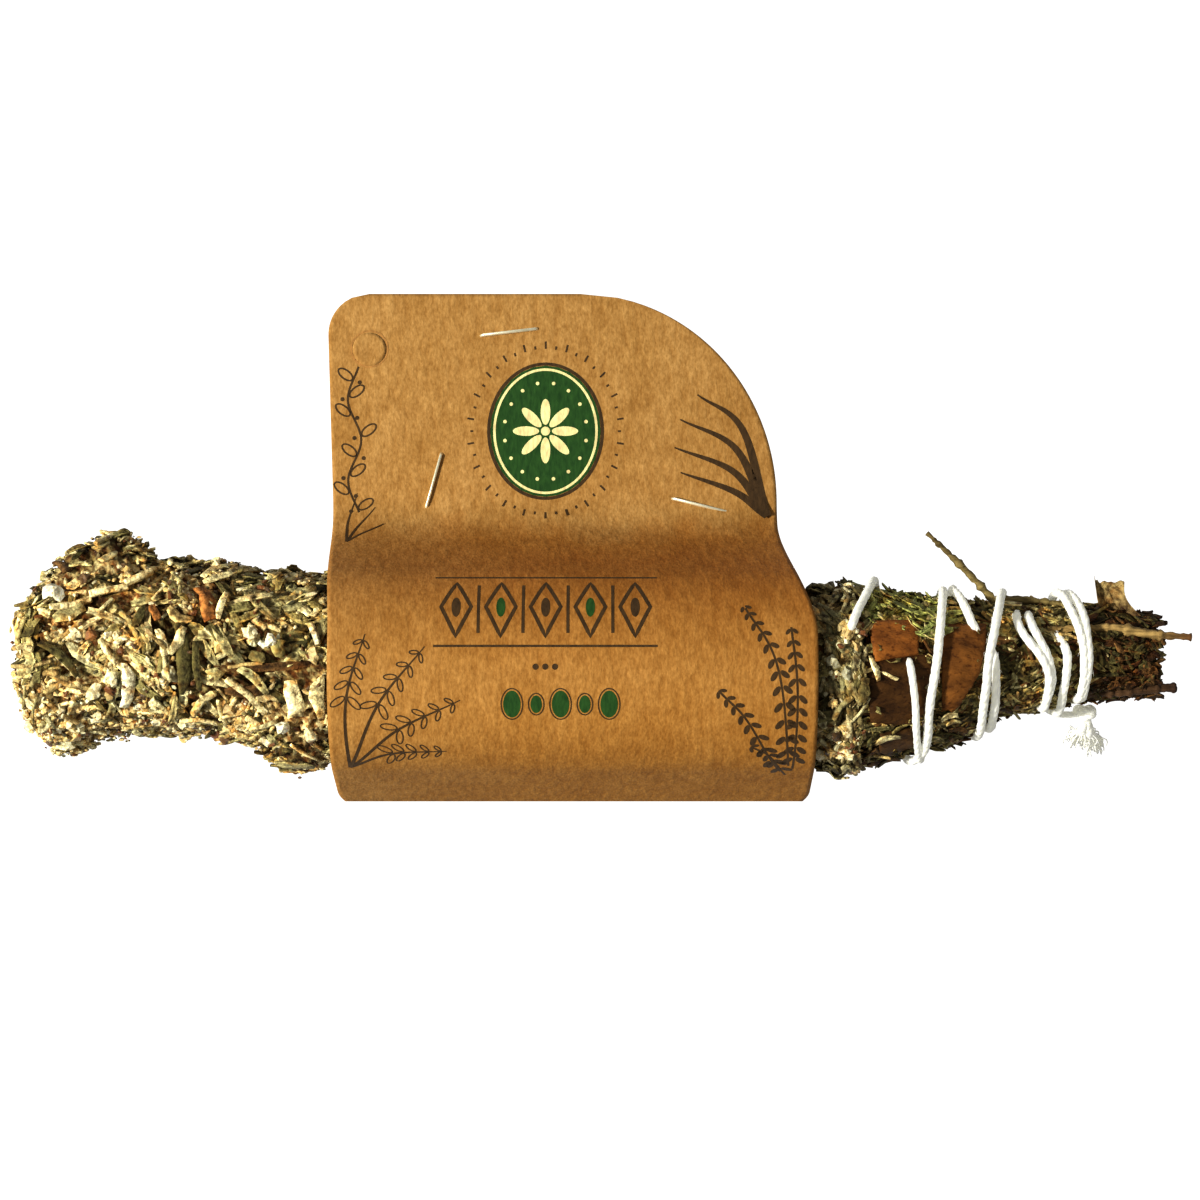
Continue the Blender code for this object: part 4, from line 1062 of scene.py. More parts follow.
def handle_bits():
    """Small crumpled leaves and fine stalks that lie along the handle under the string."""
    rng = random.Random(33)
    batches = {"leaf": Batch(), "stalk": Batch()}
    for _ in range(HANDLE_BIT_COUNT):
        x, angle = rng.uniform(MAT_START, MAT_END + 4.0), rng.uniform(0, 360)
        if rng.random() > mat_radius(x) / 13.4 + 0.2 or in_bark(x, angle):
            continue
        heading = rng.choice((0.0, math.pi)) + rng.gauss(0.25, 0.5)
        sprig = x < 58 and angle_between(angle, 34) < 26
        tilt = (rng.gauss(0.0, 0.12), rng.gauss(0, 0.2))
        rise = rng.uniform(-0.2, 0.9)
        if rng.random() < 0.72:
            length, width = rng.uniform(2.5, 6.0), rng.uniform(0.8, 1.7)
            tint = rng.choice(HANDLE_LEAF_TINTS)
            curl = rng.uniform(-0.4, 0.8)
            if sprig:
                tint = rng.choice(SPRIG_TINTS)
                length, curl, rise = length * 1.2, curl + 0.5, rise + 0.5
            if x > DIM_END:
                tint, length = rng.choice(END_LEAF_TINTS), length * 0.65
            shape = leaf_bit(rng, length, width, 0.28, rng.uniform(0.1, 0.45), curl)
            lay(batches["leaf"], handle_place, x, angle, heading, rise, tilt, shape, varied(rng, tint, 0.35))
        else:
            length = rng.uniform(3.0, 9.0) * (0.6 if x > DIM_END else 1.0)
            width = rng.uniform(0.35, 0.8)
            tint = rng.choice(HANDLE_STALK_TINTS if x < DIM_END else END_STALK_TINTS)
            shape = stalk_bit(rng, length, width, rng.uniform(-0.3, 0.3))
            tint = varied(rng, tint, 0.3)
            lay(batches["stalk"], handle_place, x, angle, heading * 0.6, rise, tilt, shape, tint)
    for (x0, a0), (x1, a1), width, tint in HANDLE_BITS:
        over = -math.radians(a1 - a0) * mat_radius(x0)
        shape = leaf_bit(rng, math.hypot(x1 - x0, over), width, 0.3, 0.2, 0.2)
        middle = ((x0 + x1) / 2, (a0 + a1) / 2)
        lay(batches["leaf"], handle_place, *middle, math.atan2(over, x1 - x0), 1.7, (0, 0), shape, tint)
    leaf_look = herb_material("handle_leaf", 0.7, 1800.0)
    settle(make_batch("handle_leaf_bits", batches["leaf"], leaf_look, True), "sage_leaf")
    stalk_look = herb_material("handle_stalk", 0.75, 2200.0)
    settle(make_batch("handle_stalk_bits", batches["stalk"], stalk_look, True), "dry_stem")


# Bark chips: outline as (x, angle) corners, as in the part's source
BARK_CHIPS = {
    "bark_chip_left": ((45.0, 52), (51.3, 48), (52.7, 51), (52.7, 74), (45.6, 78)),
    "bark_chip_mid": ((45.3, 83), (54.2, 78), (54.9, 94), (54.4, 115), (52.2, 123), (46.0, 116)),
    "bark_chip_right": ((57.0, 49), (64.4, 53), (64.2, 72), (63.2, 93), (59.6, 116), (57.1, 117)),
    "bark_chip_low": ((46.8, 130), (51.8, 132), (53.8, 141), (52.6, 153), (49.0, 157), (47.0, 147)),
}
# Each chip's colour, how far its edge reaches past the outline and how far it lies under its neighbours
BARK_LOOKS = {
    "bark_chip_left": ((0.34, 0.132, 0.025), 0.35, 0.0),
    "bark_chip_mid": ((0.092, 0.042, 0.010), 0.9, 0.45),
    "bark_chip_right": ((0.215, 0.090, 0.018), 0.3, 0.0),
    "bark_chip_low": ((0.085, 0.042, 0.012), 0.3, 0.2),
}
BARK_THICKNESS = 1.0
# A chip's rings from its edge to its middle: share of the outline, and how much thinner it is there
BARK_RINGS = ((1.0, 0.35), (0.97, 0.15), (0.88, 0.05), (0.74, 0.0), (0.56, 0.0), (0.36, 0.0), (0.16, 0.0))
# Steps along each side of a chip's outline
BARK_STEPS = 8


def bark_chips():
    material = bark_material()
    for number, (name, outline) in enumerate(BARK_CHIPS.items()):
        settle(bark_chip(name + "_bark", outline, material, number, *BARK_LOOKS[name]), "bark", name)


def bark_chip(name, outline, material, number, tint, spare, sunk):
    """A curved flake of bark with broken edges, thinner at its rim than in its middle."""
    middle_x = sum(x for x, _ in outline) / len(outline)
    middle_a = sum(a for _, a in outline) / len(outline)
    size = min(abs(x - middle_x) for x, _ in outline) + 3.0
    edge = []
    for (x0, a0), (x1, a1) in zip(outline, outline[1:] + outline[:1]):
        for step in range(BARK_STEPS):
            t = step / BARK_STEPS
            x, a = x0 + (x1 - x0) * t, a0 + (a1 - a0) * t
            ragged = 1.0 + spare / size + 0.07 * noise.noise(Vector((x * 1.3, a * 0.25, number)))
            edge.append((middle_x + (x - middle_x) * ragged, middle_a + (a - middle_a) * ragged))
    points, faces = [], []
    count = len(edge)
    for level in (0, 1):
        for share, thinner in BARK_RINGS:
            for x, a in edge:
                px, pa = middle_x + (x - middle_x) * share, middle_a + (a - middle_a) * share
                grain = 0.16 * noise.noise(Vector((px * 0.5, pa * 0.12, number + 3)))
                rim = thinner * BARK_THICKNESS
                top = MAT_RELIEF - sunk - rim + min(grain, 0.0)
                low = MAT_RELIEF - sunk - BARK_THICKNESS + rim * 0.6 + 0.3 * grain
                points.append(on_bundle(px, pa, mat_radius(px) + (top if level else low)))
        middle_reach = mat_radius(middle_x) + MAT_RELIEF - sunk - (0 if level else BARK_THICKNESS)
        points.append(on_bundle(middle_x, middle_a, middle_reach))
    layer = count * len(BARK_RINGS) + 1
    for base, turn in ((0, -1), (layer, 1)):
        loops = loops_of(len(BARK_RINGS), count, base)
        faces += bands(loops[::turn]) + fan(loops[-1], base + layer - 1)
    faces += band(range(layer, layer + count), range(count))
    return make_mesh(name, points, faces, material, [tint] * len(points))


# Twigs, curled leaf and stems


TWIG_SIDES = 12
# The last share of a twig, over which its colour turns into its tip's
TWIG_TIP = 0.25


def twig(name, path, radii, material, tint, tip_tint):
    """A dry twig: a tapered rod with bark ridges and swollen joints."""
    line = smooth_path(path, 14)
    count = len(line)
    widths = []
    for k, point in enumerate(line):
        share = k / (count - 1) * (len(radii) - 1)
        low = min(int(share), len(radii) - 2)
        radius = radii[low] + (radii[low + 1] - radii[low]) * (share - low)
        beat = math.cos(2 * math.pi * (k / 11.0 + 0.2 * noise.noise(point * 0.4)))
        joint = 0.42 * max(0.0, beat) ** 6
        widths.append(radius * (0.80 + joint + 0.25 * noise.noise(point * 1.1)))
    points, faces = swept(line, widths, TWIG_SIDES)
    points = [p + Vector((0.05, 0.16, 0.16)) * noise.noise(p * 1.9) for p in points]
    tints = []
    for k in range(count):
        share = (k / (count - 1) - (1 - TWIG_TIP)) / TWIG_TIP
        tints += [blended(tint, tip_tint, share)] * TWIG_SIDES
    settle(make_mesh(name + "_bark", points, faces, material, tints), "twig", name)


def over_mat(angle, *steps):
    """Points at one angle round the bundle, from (x, height over the leaves)."""
    return [on_bundle(x, angle, mat_radius(x) + height) for x, height in steps]


def twigs():
    material = twig_material()
    spur = over_mat(12.0, (80.0, 1.6), (74.0, 2.2), (68.8, 2.3), (66.9, 2.2))
    spur += [(64.2, 14.4, 20.8), (59.6, 19.0, 21.5), (55.2, 23.1, 22.0)]
    spur_radii = (0.5, 0.7, 0.75, 0.75, 0.75, 0.65, 0.45)
    twig("twig_spur", spur, spur_radii, material, (0.34, 0.26, 0.10), (0.22, 0.16, 0.06))
    end = over_mat(58.0, (75.0, 1.3), (82.0, 1.4), (87.0, 1.5))
    end += [(93.0, 6.0, 25.4), (STICK_END, 5.6, 25.4)]
    end_radii = (0.6, 0.8, 0.95, 0.9, 0.6)
    twig("twig_end", end, end_radii, material, (0.54, 0.37, 0.14), (0.26, 0.12, 0.04))
    low = over_mat(150.0, (77.0, 1.2), (83.0, 1.3), (88.0, 1.4))
    low += [(93.0, -3.2, 22.2), (97.3, -3.0, 21.8)]
    low_radii = (0.6, 0.8, 0.95, 1.0, 0.85)
    twig("twig_low", low, low_radii, material, (0.15, 0.08, 0.035), (0.07, 0.035, 0.02))


def leaf_curl():
    """A papery leaf that curls up off the handle, with a midrib and torn edge."""
    columns, rows = 33, 33
    thickness = 0.16
    points, tints = [], []
    for level in (-0.5, 0.5):
        for i in range(rows):
            rise = i / (rows - 1)
            for j in range(columns):
                side = 2 * j / (columns - 1) - 1
                width = 3.4 * (1.0 - 0.25 * rise) * (1.0 + 0.25 * rise * side)
                if side > 0:
                    width *= 1.0 - 0.3 * math.sin(math.pi * rise)
                torn = 0.5 * noise.noise(Vector((j * 0.22, 4.0, 1.0))) * rise**3
                torn += 1.1 * rise**3 * math.exp(-(((side + 1) / 0.22) ** 2))
                ripple = 0.22 * noise.noise(Vector((i * 0.16, j * 0.16, 2.0)))
                x = 87.9 + side * width - 2.8 * rise
                y = 9.1 + 5.8 * rise + torn
                rib = 0.22 * math.exp(-((side * 9) ** 2))
                z = 20.9 + 1.5 * side * side - 2.8 * rise * (1 - rise) + 1.2 * rise + ripple + rib
                points.append((x, y, z + level * thickness))
                brown = 0.85 - rise + 0.5 * noise.noise(Vector((i * 0.2, j * 0.2, 9.0)))
                tints.append(blended((0.40, 0.31, 0.15), (0.075, 0.035, 0.012), brown))
    material = herb_material("papery_leaf", 0.65, 900.0)
    piece = make_mesh("leaf_curl_paper", points, sheet_faces(rows, columns), material, tints)
    settle(piece, "dry_leaf", "leaf_curl")


# The rings of stems: how many, and how far from the middle
STEM_RINGS = ((1, 0.0), (6, 5.0), (12, 9.6))
STEM_SIDES = 10
STEM_STEPS = 60
STEM_COLOUR = (0.15, 0.10, 0.05)
PITH_COLOUR = (0.42, 0.33, 0.18)


def stems():
    """The stems' bark, on each stem's own line, with a pale pith on the cut end."""
    material = twig_material()
    material.name = "stem_bark"
    number = 0
    for ring, (count, ring_radius) in enumerate(STEM_RINGS):
        for k in range(count):
            number += 1
            name = f"stem_{number:02d}"
            low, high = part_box(name)
            angle = 360.0 * (k + 0.5 * (ring % 2)) / count
            end = high.x / MM - 0.1
            start = low.x / MM + 0.1
            line, radii = [], []
            for step in range(STEM_STEPS + 1):
                x = start + (end - start) * step / STEM_STEPS
                scale = smooth_between(x, STEM_KNOTS)
                line.append(on_bundle(x, angle, ring_radius * scale))
                knobs = 0.94 + 0.08 * noise.noise(Vector((x * 0.5, number, 0)))
                radii.append((0.42 + 0.85 * scale) * knobs)
            points, faces = swept(line, radii, STEM_SIDES)
            tints = [STEM_COLOUR] * (len(points) - STEM_SIDES) + [PITH_COLOUR] * STEM_SIDES
            settle(make_mesh(name + "_bark", points, faces, material, tints), "dry_stem", name)


# Cotton string

# The winding as (angle, x), as in the part's source but for its first point
WINDING = (
    (62, 41.4), (50, 42.6), (28, 44.9), (0, 46.6), (-40, 48.0), (-90, 49.6), (-150, 51.8), (-180, 53.0),
    (-202, 54.2), (-249, 54.8), (-270, 55.4), (-315, 57.0), (-360, 58.3),
    (-390, 58.9), (-420, 63.5), (-450, 65.2), (-500, 65.9), (-540, 66.0),
    (-585, 66.0), (-625, 65.9), (-650, 64.8), (-674, 61.6), (-700, 60.5), (-720, 60.2),
    (-750, 60.6), (-780, 60.9), (-810, 61.6), (-855, 63.0), (-900, 63.9),
    (-945, 64.0), (-990, 64.2), (-1015, 65.6), (-1045, 67.2), (-1080, 68.3),
    (-1125, 69.4), (-1170, 70.8), (-1215, 72.6), (-1260, 74.2),
    (-1305, 74.8), (-1334, 75.0), (-1353, 74.3), (-1380, 71.6), (-1410, 70.6), (-1440, 70.3),
    (-1485, 71.2), (-1530, 72.8), (-1575, 74.8), (-1620, 76.1),
    (-1665, 76.7), (-1694, 76.8), (-1713, 76.2), (-1740, 73.8), (-1770, 72.7), (-1800, 72.3),
    (-1845, 73.2), (-1890, 74.8), (-1935, 76.8), (-1980, 78.0),
    (-2025, 78.5), (-2054, 78.6), (-2073, 78.2), (-2100, 76.2), (-2130, 74.9), (-2160, 74.3),
    (-2205, 75.2), (-2250, 76.8), (-2295, 78.7), (-2340, 79.9),
    (-2385, 80.4), (-2432, 80.3), (-2456, 79.3), (-2488, 77.4), (-2520, 76.3),
    (-2565, 77.2), (-2610, 78.8), (-2655, 80.7), (-2700, 81.8),
    (-2745, 82.2), (-2777, 82.3), (-2816, 81.3), (-2848, 79.4), (-2880, 78.3),
    (-2925, 79.4), (-2970, 81.2), (-3020, 82.6),
)
# Where the string passes over itself: the angle, how far it is lifted and over how many degrees each way
CROSSINGS = ((-763, 2.3, 48.0), (-1005, 2.3, 60.0))
# Where it dives between the leaves, in the same way
DIVES = (
    (-652, 2.6, 26.0), (-1432, 3.4, 60.0), (-1792, 3.4, 62.0), (-2130, 3.6, 82.0), (-1650, 1.2, 70.0),
    (-2020, 0.9, 60.0), (-1258, 3.2, 46.0), (-1618, 2.6, 46.0), (-2343, 3.2, 46.0), (-2703, 3.2, 46.0),
)
# Where it leans sideways on to its neighbour: the angle, how far along X and over how many degrees each way
LEANS = (
    (-1670, -1.5, 80.0), (-2030, -0.8, 70.0), (-2745, -1.1, 90.0), (-2425, 0.5, 70.0), (-1375, -1.6, 50.0),
    (-1735, -1.4, 60.0), (-2510, 1.5, 80.0), (-2868, 1.2, 70.0),
)


def swell_at(turn, swells):
    height = 0.0
    for at, most, reach in swells:
        away = abs(turn + at) / reach
        if away < 1.0:
            height += most * math.cos(away * math.pi / 2) ** 2
    return height


def catmull_rom(at, knots):
    """A smooth line through knots of (position, value), read at one position."""
    last = len(knots) - 1
    i = max(k for k in range(last) if knots[k][0] <= at)
    (t0, v0), (t1, v1) = knots[i], knots[i + 1]
    before = knots[max(i - 1, 0)]
    after = knots[min(i + 2, last)]
    slope_in = (v1 - before[1]) / (t1 - before[0])
    slope_out = (after[1] - v0) / (after[0] - t0)
    span = t1 - t0
    s = (at - t0) / span
    return (
        (2 * s**3 - 3 * s**2 + 1) * v0
        + (s**3 - 2 * s**2 + s) * span * slope_in
        + (-2 * s**3 + 3 * s**2) * v1
        + (s**3 - s**2) * span * slope_out
    )


def string_route(step):
    knots = [(-angle, x) for angle, x in WINDING]
    points = []
    turn = knots[0][0]
    while turn <= knots[-1][0]:
        x = catmull_rom(turn, knots)
        radius = mat_radius(x) + MAT_RELIEF + STRING_RADIUS + 0.1
        if x < CRUST_END + 1.2:
            radius = max(radius, crust_radius(x, -turn) + 1.2)
        radius += swell_at(turn, CROSSINGS) - swell_at(turn, DIVES)
        sway = swell_at(turn, LEANS) + 0.25 * noise.noise(Vector((turn * 0.03, 1, 2)))
        points.append(on_bundle(x + sway, -turn, radius))
        turn += step
    return points


def resampled(points, step):
    """Points every step millimetres along a path."""
    out, carry = [points[0]], 0.0
    for a, b in zip(points, points[1:]):
        length = (b - a).length
        at = step - carry
        while at <= length:
            out.append(a.lerp(b, at / length))
            at += step
        carry = (carry + length) % step
    return out


YARN_STRANDS = 3
# How far each strand's middle lies from the yarn's, as a share of the yarn's radius
STRAND_OFFSET = 0.19


def plies(frames, radius, pitch):
    """The lines of the strands twisted round a line."""
    travelled = [0.0]
    for (a, _, _), (b, _, _) in zip(frames, frames[1:]):
        travelled.append(travelled[-1] + (b - a).length)
    made = []
    for strand in range(YARN_STRANDS):
        path = []
        for (point, u, v), s in zip(frames, travelled):
            turn = 2 * math.pi * (s / pitch + strand / YARN_STRANDS)
            path.append(point + (u * math.cos(turn) + v * math.sin(turn)) * radius * STRAND_OFFSET)
        made.append(path)
    return made


def add_yarn(batch, line, radius, pitch=5.2):
    """Three soft strands twisted along a line, drawn in at both ends."""
    frames = frames_along(line, Vector((1, 0, 0)))
    last = len(line) - 1
    for path in plies(frames, radius, pitch):
        radii = []
        for k, p in enumerate(path):
            ends = min(1.0, 0.35 + 0.25 * k, 0.35 + 0.25 * (last - k))
            radii.append(radius * ends * (0.78 + 0.08 * noise.noise(p * 0.9)))
        batch.add(*swept(path, radii, 7), WHITE)
    return frames


def add_fuzz(batch, frames, radius, rng, count):
    """Fine cotton fibres that stand off the yarn."""
    for _ in range(count):
        point, u, v = frames[rng.randrange(len(frames))]
        turn = rng.uniform(0, 2 * math.pi)
        out = u * math.cos(turn) + v * math.sin(turn)
        along = u.cross(v) * rng.choice((-1, 1))
        length = rng.uniform(0.4, 1.1)
        path = [point + out * radius * 0.8]
        path.append(path[0] + out * length * 0.3 + along * length * 0.3)
        path.append(path[1] + out * length * rng.uniform(-0.1, 0.3) + along * length * 0.5)
        batch.add(*swept(path, (0.035, 0.03, 0.02), 3), WHITE)


# A short tucked strand beside the winding: x, angle and height over the leaf mat
TUCKED_STRAND = (
    (54.6, 190, 2.6), (54.4, 175, 3.5), (53.6, 158, 3.5), (52.6, 128, 3.5),
    (52.2, 108, 3.5), (51.6, 90, 3.3), (51.2, 76, 1.6),
)
# Steps in millimetres between the points of a yarn, and in degrees along the winding
YARN_STEP = 0.3
ROUTE_STEP = 3.0
FUZZ_COUNT = 700


def cotton_string():
    """The string's winding and its fuzz, with the line and the material that the knot takes over."""
    rng = random.Random(4)
    material = cotton_material()
    line = resampled(string_route(ROUTE_STEP), YARN_STEP)
    batch, fuzz = Batch(), Batch()
    frames = add_yarn(batch, line, STRING_RADIUS)
    strand = smooth_path([on_bundle(x, a, mat_radius(x) + h) for x, a, h in TUCKED_STRAND], 12)
    add_yarn(batch, resampled(strand, YARN_STEP), STRING_RADIUS * 0.85)
    settle(make_batch("cotton_string_yarn", batch, material, True), "cotton", "cotton_string")
    add_fuzz(fuzz, frames, STRING_RADIUS, rng, FUZZ_COUNT)
    settle(make_batch("cotton_string_fuzz", fuzz, material), "cotton")
    return line, material


TAIL_FIBRES = 320
TAIL_FIBRE_RADII = (0.15, 0.17, 0.17, 0.16, 0.14, 0.12, 0.10)


def string_knot(line, material):
    """The overhand knot under the handle, and its two tails frayed into loose fibres."""
    rng = random.Random(12)
    end = line[-1]
    middle = end + (line[-1] - line[-2]).normalized() * (STRING_RADIUS + GAP + 2.3)
    out = Vector((0, middle.y - axis_y(middle.x), middle.z - AXIS_HEIGHT)).normalized()
    middle = middle + out * 0.9
    batch = Batch()
    for share in (0.0, 0.37, 0.71):
        loop = []
        for k in range(41):
            a = 2 * math.pi * (k / 40 + share)
            flat = math.cos(a) * math.cos(share * 3)
            tall = math.cos(a) * math.sin(share * 3)
            along = 1.25 * math.sin(a) + 0.4 * math.sin(2 * a)
            step = Vector((along, 0.95 * flat, 0.8 * tall + 0.45 * math.sin(3 * a)))
            loop.append(middle + step)
        add_yarn(batch, loop, 0.66, 3.4)
    steps = ((-7.0, 0.9, 0.5), (-5.0, -0.1, 0.9), (-2.5, -0.3, 0.5), (0, 0, 0))
    loose = smooth_path([middle + Vector(step) for step in steps], 8)
    add_yarn(batch, resampled(loose, YARN_STEP), 0.62, 4.0)
    down = Vector((0, -0.75, -0.66))
    for side, length in ((0.5, 8.5), (-0.1, 7.0)):
        path = [middle + Vector((side * t, 0, 0)) * 5 + down * length * t for t in (0.0, 0.35, 0.7, 1.0)]
        path[1] += Vector((0, -0.9, 0.9))
        core = smooth_path(path, 12)
        frayed_from, yarn_end = int(len(core) * 0.35), int(len(core) * 0.75)
        add_yarn(batch, core[:yarn_end], 1.0, 4.0)
        for _ in range(TAIL_FIBRES):
            start = core[rng.randrange(frayed_from, yarn_end)]
            spread = Vector((rng.gauss(0, 0.5), rng.gauss(0, 0.3), rng.gauss(0, 0.3)))
            reach = rng.uniform(0.6, 1.0)
            tip = path[-1] + spread * 1.8
            halfway = start.lerp(tip, 0.5 * reach) + spread * 0.9
            fibre = smooth_path([start + spread * 0.35, halfway, start.lerp(tip, reach)], 3)
            batch.add(*swept(fibre, TAIL_FIBRE_RADII, 3), WHITE)
    settle(make_batch("string_knot_yarn", batch, material, True), "cotton", "string_knot")


# Kraft card


def arc_points(centre, radius, start, end, steps):
    turns = [math.radians(start + (end - start) * k / steps) for k in range(steps + 1)]
    return [(centre[0] + radius * math.cos(t), centre[1] + radius * math.sin(t)) for t in turns]


def tangent_angle(point, centre, radius, side):
    dy, dz = point[0] - centre[0], point[1] - centre[1]
    return math.degrees(math.atan2(dz, dy) + side * math.acos(radius / math.hypot(dy, dz)))


def card_section():
    """The card's middle line in (y, z), finer than in the part's source: back layer, front layer."""
    low = CARD_THICKNESS / 2
    header = [tuple(a + (b - a) * k / 60 for a, b in zip(CARD_TOP, CARD_NECK)) for k in range(61)]
    slope = []
    for k in range(1, 17):
        t = k / 16
        y = CARD_NECK[0] + (CARD_FLAT_HALF - CARD_NECK[0]) * t
        slope.append((y, low + (CARD_NECK[1] - low) * (1 - t) ** 1.6))
    fold_y, fold_z = CARD_FOLD
    reach = fold_y + CARD_FOLD_RADIUS
    rise = []
    for k in range(12):
        t = 0.9 * k / 11
        z = low + (fold_z - CARD_FOLD_RADIUS - low) * t**1.5
        rise.append((-CARD_FLAT_HALF + (reach + CARD_FLAT_HALF) * t, z))
    fold = arc_points((reach, fold_z), CARD_FOLD_RADIUS, 250, 165, 8)
    centre = (0.0, AXIS_HEIGHT)
    left_touch = tangent_angle(fold[-1], centre, CARD_WRAP_RADIUS, -1) % 360
    lift = CARD_THICKNESS + GAP
    neck = (CARD_NECK[0] - 0.4, CARD_NECK[1] + lift + 0.25)
    right_touch = tangent_angle(neck, centre, CARD_WRAP_RADIUS, 1) % 360
    wrap = arc_points(centre, CARD_WRAP_RADIUS, left_touch, right_touch, 40)
    run_in = between(fold[-1], wrap[0], 9)
    run_out = between(wrap[-1], neck, 20)[:13]
    back = header + slope + [(0.0, low)] + rise + fold
    flat = [(y, z + lift) for y, z in reversed(header[:-8])]
    front = run_in + wrap + run_out + bend(run_out[-1], neck, flat[0], 16) + flat
    return back, front


def bend(start, corner, end, count):
    """A soft curve from start to end that heads for the corner between them."""
    made = []
    for k in range(1, count):
        t = k / count
        shares = ((1 - t) ** 2, 2 * t * (1 - t), t * t)
        made.append(tuple(sum(s * c for s, c in zip(shares, cs)) for cs in zip(start, corner, end)))
    return made


def between(a, b, count):
    return [tuple(p + (q - p) * k / (count + 1) for p, q in zip(a, b)) for k in range(1, count + 1)]


# The header's left edge, its corner's radius, and its round right edge: where it starts and its width
HEADER_LEFT = -46.2
HEADER_FLARE = 1.6
HEADER_CORNER = 7.4
HEADER_ROUND_FROM = 29.0
HEADER_ROUND_MIDDLE = -3.5
HEADER_ROUND_WIDTH = 34.2


def header_left(y):
    flare = HEADER_LEFT - HEADER_FLARE * (y - CARD_NECK[0]) / (CARD_TOP[0] - CARD_NECK[0])
    over = max(y - (CARD_TOP[0] - HEADER_CORNER), 0.0)
    return flare + HEADER_CORNER - math.sqrt(HEADER_CORNER**2 - over**2)


def header_right(y):
    share = clamped((y - HEADER_ROUND_FROM) / (CARD_TOP[0] - HEADER_ROUND_FROM))
    return HEADER_ROUND_MIDDLE + HEADER_ROUND_WIDTH * math.sqrt(1.0 - share**2)


def card_edges(y):
    """The card's left and right edges in x at this y."""
    if y >= CARD_NECK[0]:
        return header_left(y), header_right(y)
    near = clamped((y - CARD_FLAT_HALF) / (CARD_NECK[0] - CARD_FLAT_HALF))
    ease = near * near * (3 - 2 * near)
    corner = 0.9 * clamped((-20.8 - y) / 2.0) ** 2
    return CARD_LEFT - 1.3 * ease + corner, CARD_RIGHT - 5.2 * ease - corner


def header_plane():
    slope = math.atan2(CARD_TOP[1] - CARD_NECK[1], CARD_TOP[0] - CARD_NECK[0])
    return Matrix.Rotation(slope, 3, "X")


def header_place(x, y, above):
    share = (y - CARD_NECK[0]) / (CARD_TOP[0] - CARD_NECK[0])
    back = CARD_NECK[1] + (CARD_TOP[1] - CARD_NECK[1]) * share
    front = back + CARD_THICKNESS + GAP + CARD_THICKNESS / 2
    return Vector((x, y, front + above))


def section_normals(section):
    """Unit normals of a (y, z) line, on its left as it runs."""
    normals = []
    for k in range(len(section)):
        a, b = section[max(k - 1, 0)], section[min(k + 1, len(section) - 1)]
        dy, dz = b[0] - a[0], b[1] - a[1]
        size = math.hypot(dy, dz)
        normals.append((-dz / size, dy / size))
    return normals


# How far down the card's front from its top edge the neck's bend lies
NECK_RUN = 41.0


def card_wave(u, v):
    """How far the card's front stands out where it bends at the neck and is pulled round the stick."""
    near = math.exp(-(((v - NECK_RUN - 0.9 * math.sin(u * 0.11 + 0.8)) / 2.6) ** 2))
    swell = 0.5 + 0.5 * math.sin(u * 0.21 + 1.0) + 0.25 * noise.noise(Vector((u * 0.12, v * 0.1, 3)))
    return 0.30 * near * max(swell, 0.0)


class CardFront:
    """Places print on the card's front: u is across (x), v is the way down from the header's top edge."""

    def __init__(self):
        self.line = card_section()[1][::-1]
        self.at = runs_of(self.line)
        self.normals = [(-n[0], -n[1]) for n in section_normals(self.line)]

    def place(self, u, v, above):
        v = min(max(v, 0.0), self.at[-1] - 1e-6)
        low, high = 0, len(self.at) - 1
        while high - low > 1:
            mid = (low + high) // 2
            low, high = (mid, high) if self.at[mid] <= v else (low, mid)
        t = (v - self.at[low]) / (self.at[high] - self.at[low])
        (y0, z0), (y1, z1) = self.line[low], self.line[high]
        (a0, b0), (a1, b1) = self.normals[low], self.normals[high]
        reach = CARD_THICKNESS / 2 + card_wave(u, v) + above
        y, z = y0 + (y1 - y0) * t, z0 + (z1 - z0) * t
        out_y, out_z = a0 + (a1 - a0) * t, b0 + (b1 - b0) * t
        return Vector((u, y + out_y * reach, z + out_z * reach))


def runs_of(line):
    """The distance along a line to each of its points."""
    at = [0.0]
    for a, b in zip(line, line[1:]):
        at.append(at[-1] + math.dist(a, b))
    return at


CARD_STEPS_ACROSS = 110


def kraft_card():
    back, front = card_section()
    section = back + front
    normals = section_normals(section)
    runs = [None] * len(back) + runs_of(front[::-1])[::-1]
    points = []
    for level in (-0.5, 0.5):
        for (y, z), (out_y, out_z), run in zip(section, normals, runs):
            left, right = card_edges(y)
            for j in range(CARD_STEPS_ACROSS + 1):
                x = left + (right - left) * j / CARD_STEPS_ACROSS
                wave = card_wave(x, run) if run is not None else 0.0
                reach = level * CARD_THICKNESS - wave
                points.append((x, y + out_y * reach, z + out_z * reach))
    faces = sheet_faces(len(section), CARD_STEPS_ACROSS + 1)
    material = kraft_material()
    settle(make_mesh("kraft_card_sheet", points, faces, material), "kraft", "kraft_card")
    punch_disc(material)


# The disc of the hang hole: its radius, its faces' heights over the card and its rings from the edge in
DISC_RADIUS = 2.95
DISC_LEVELS = (-0.1, 0.12)
DISC_RINGS = (1.0, 0.8, 0.45)
DISC_SIDES = 40


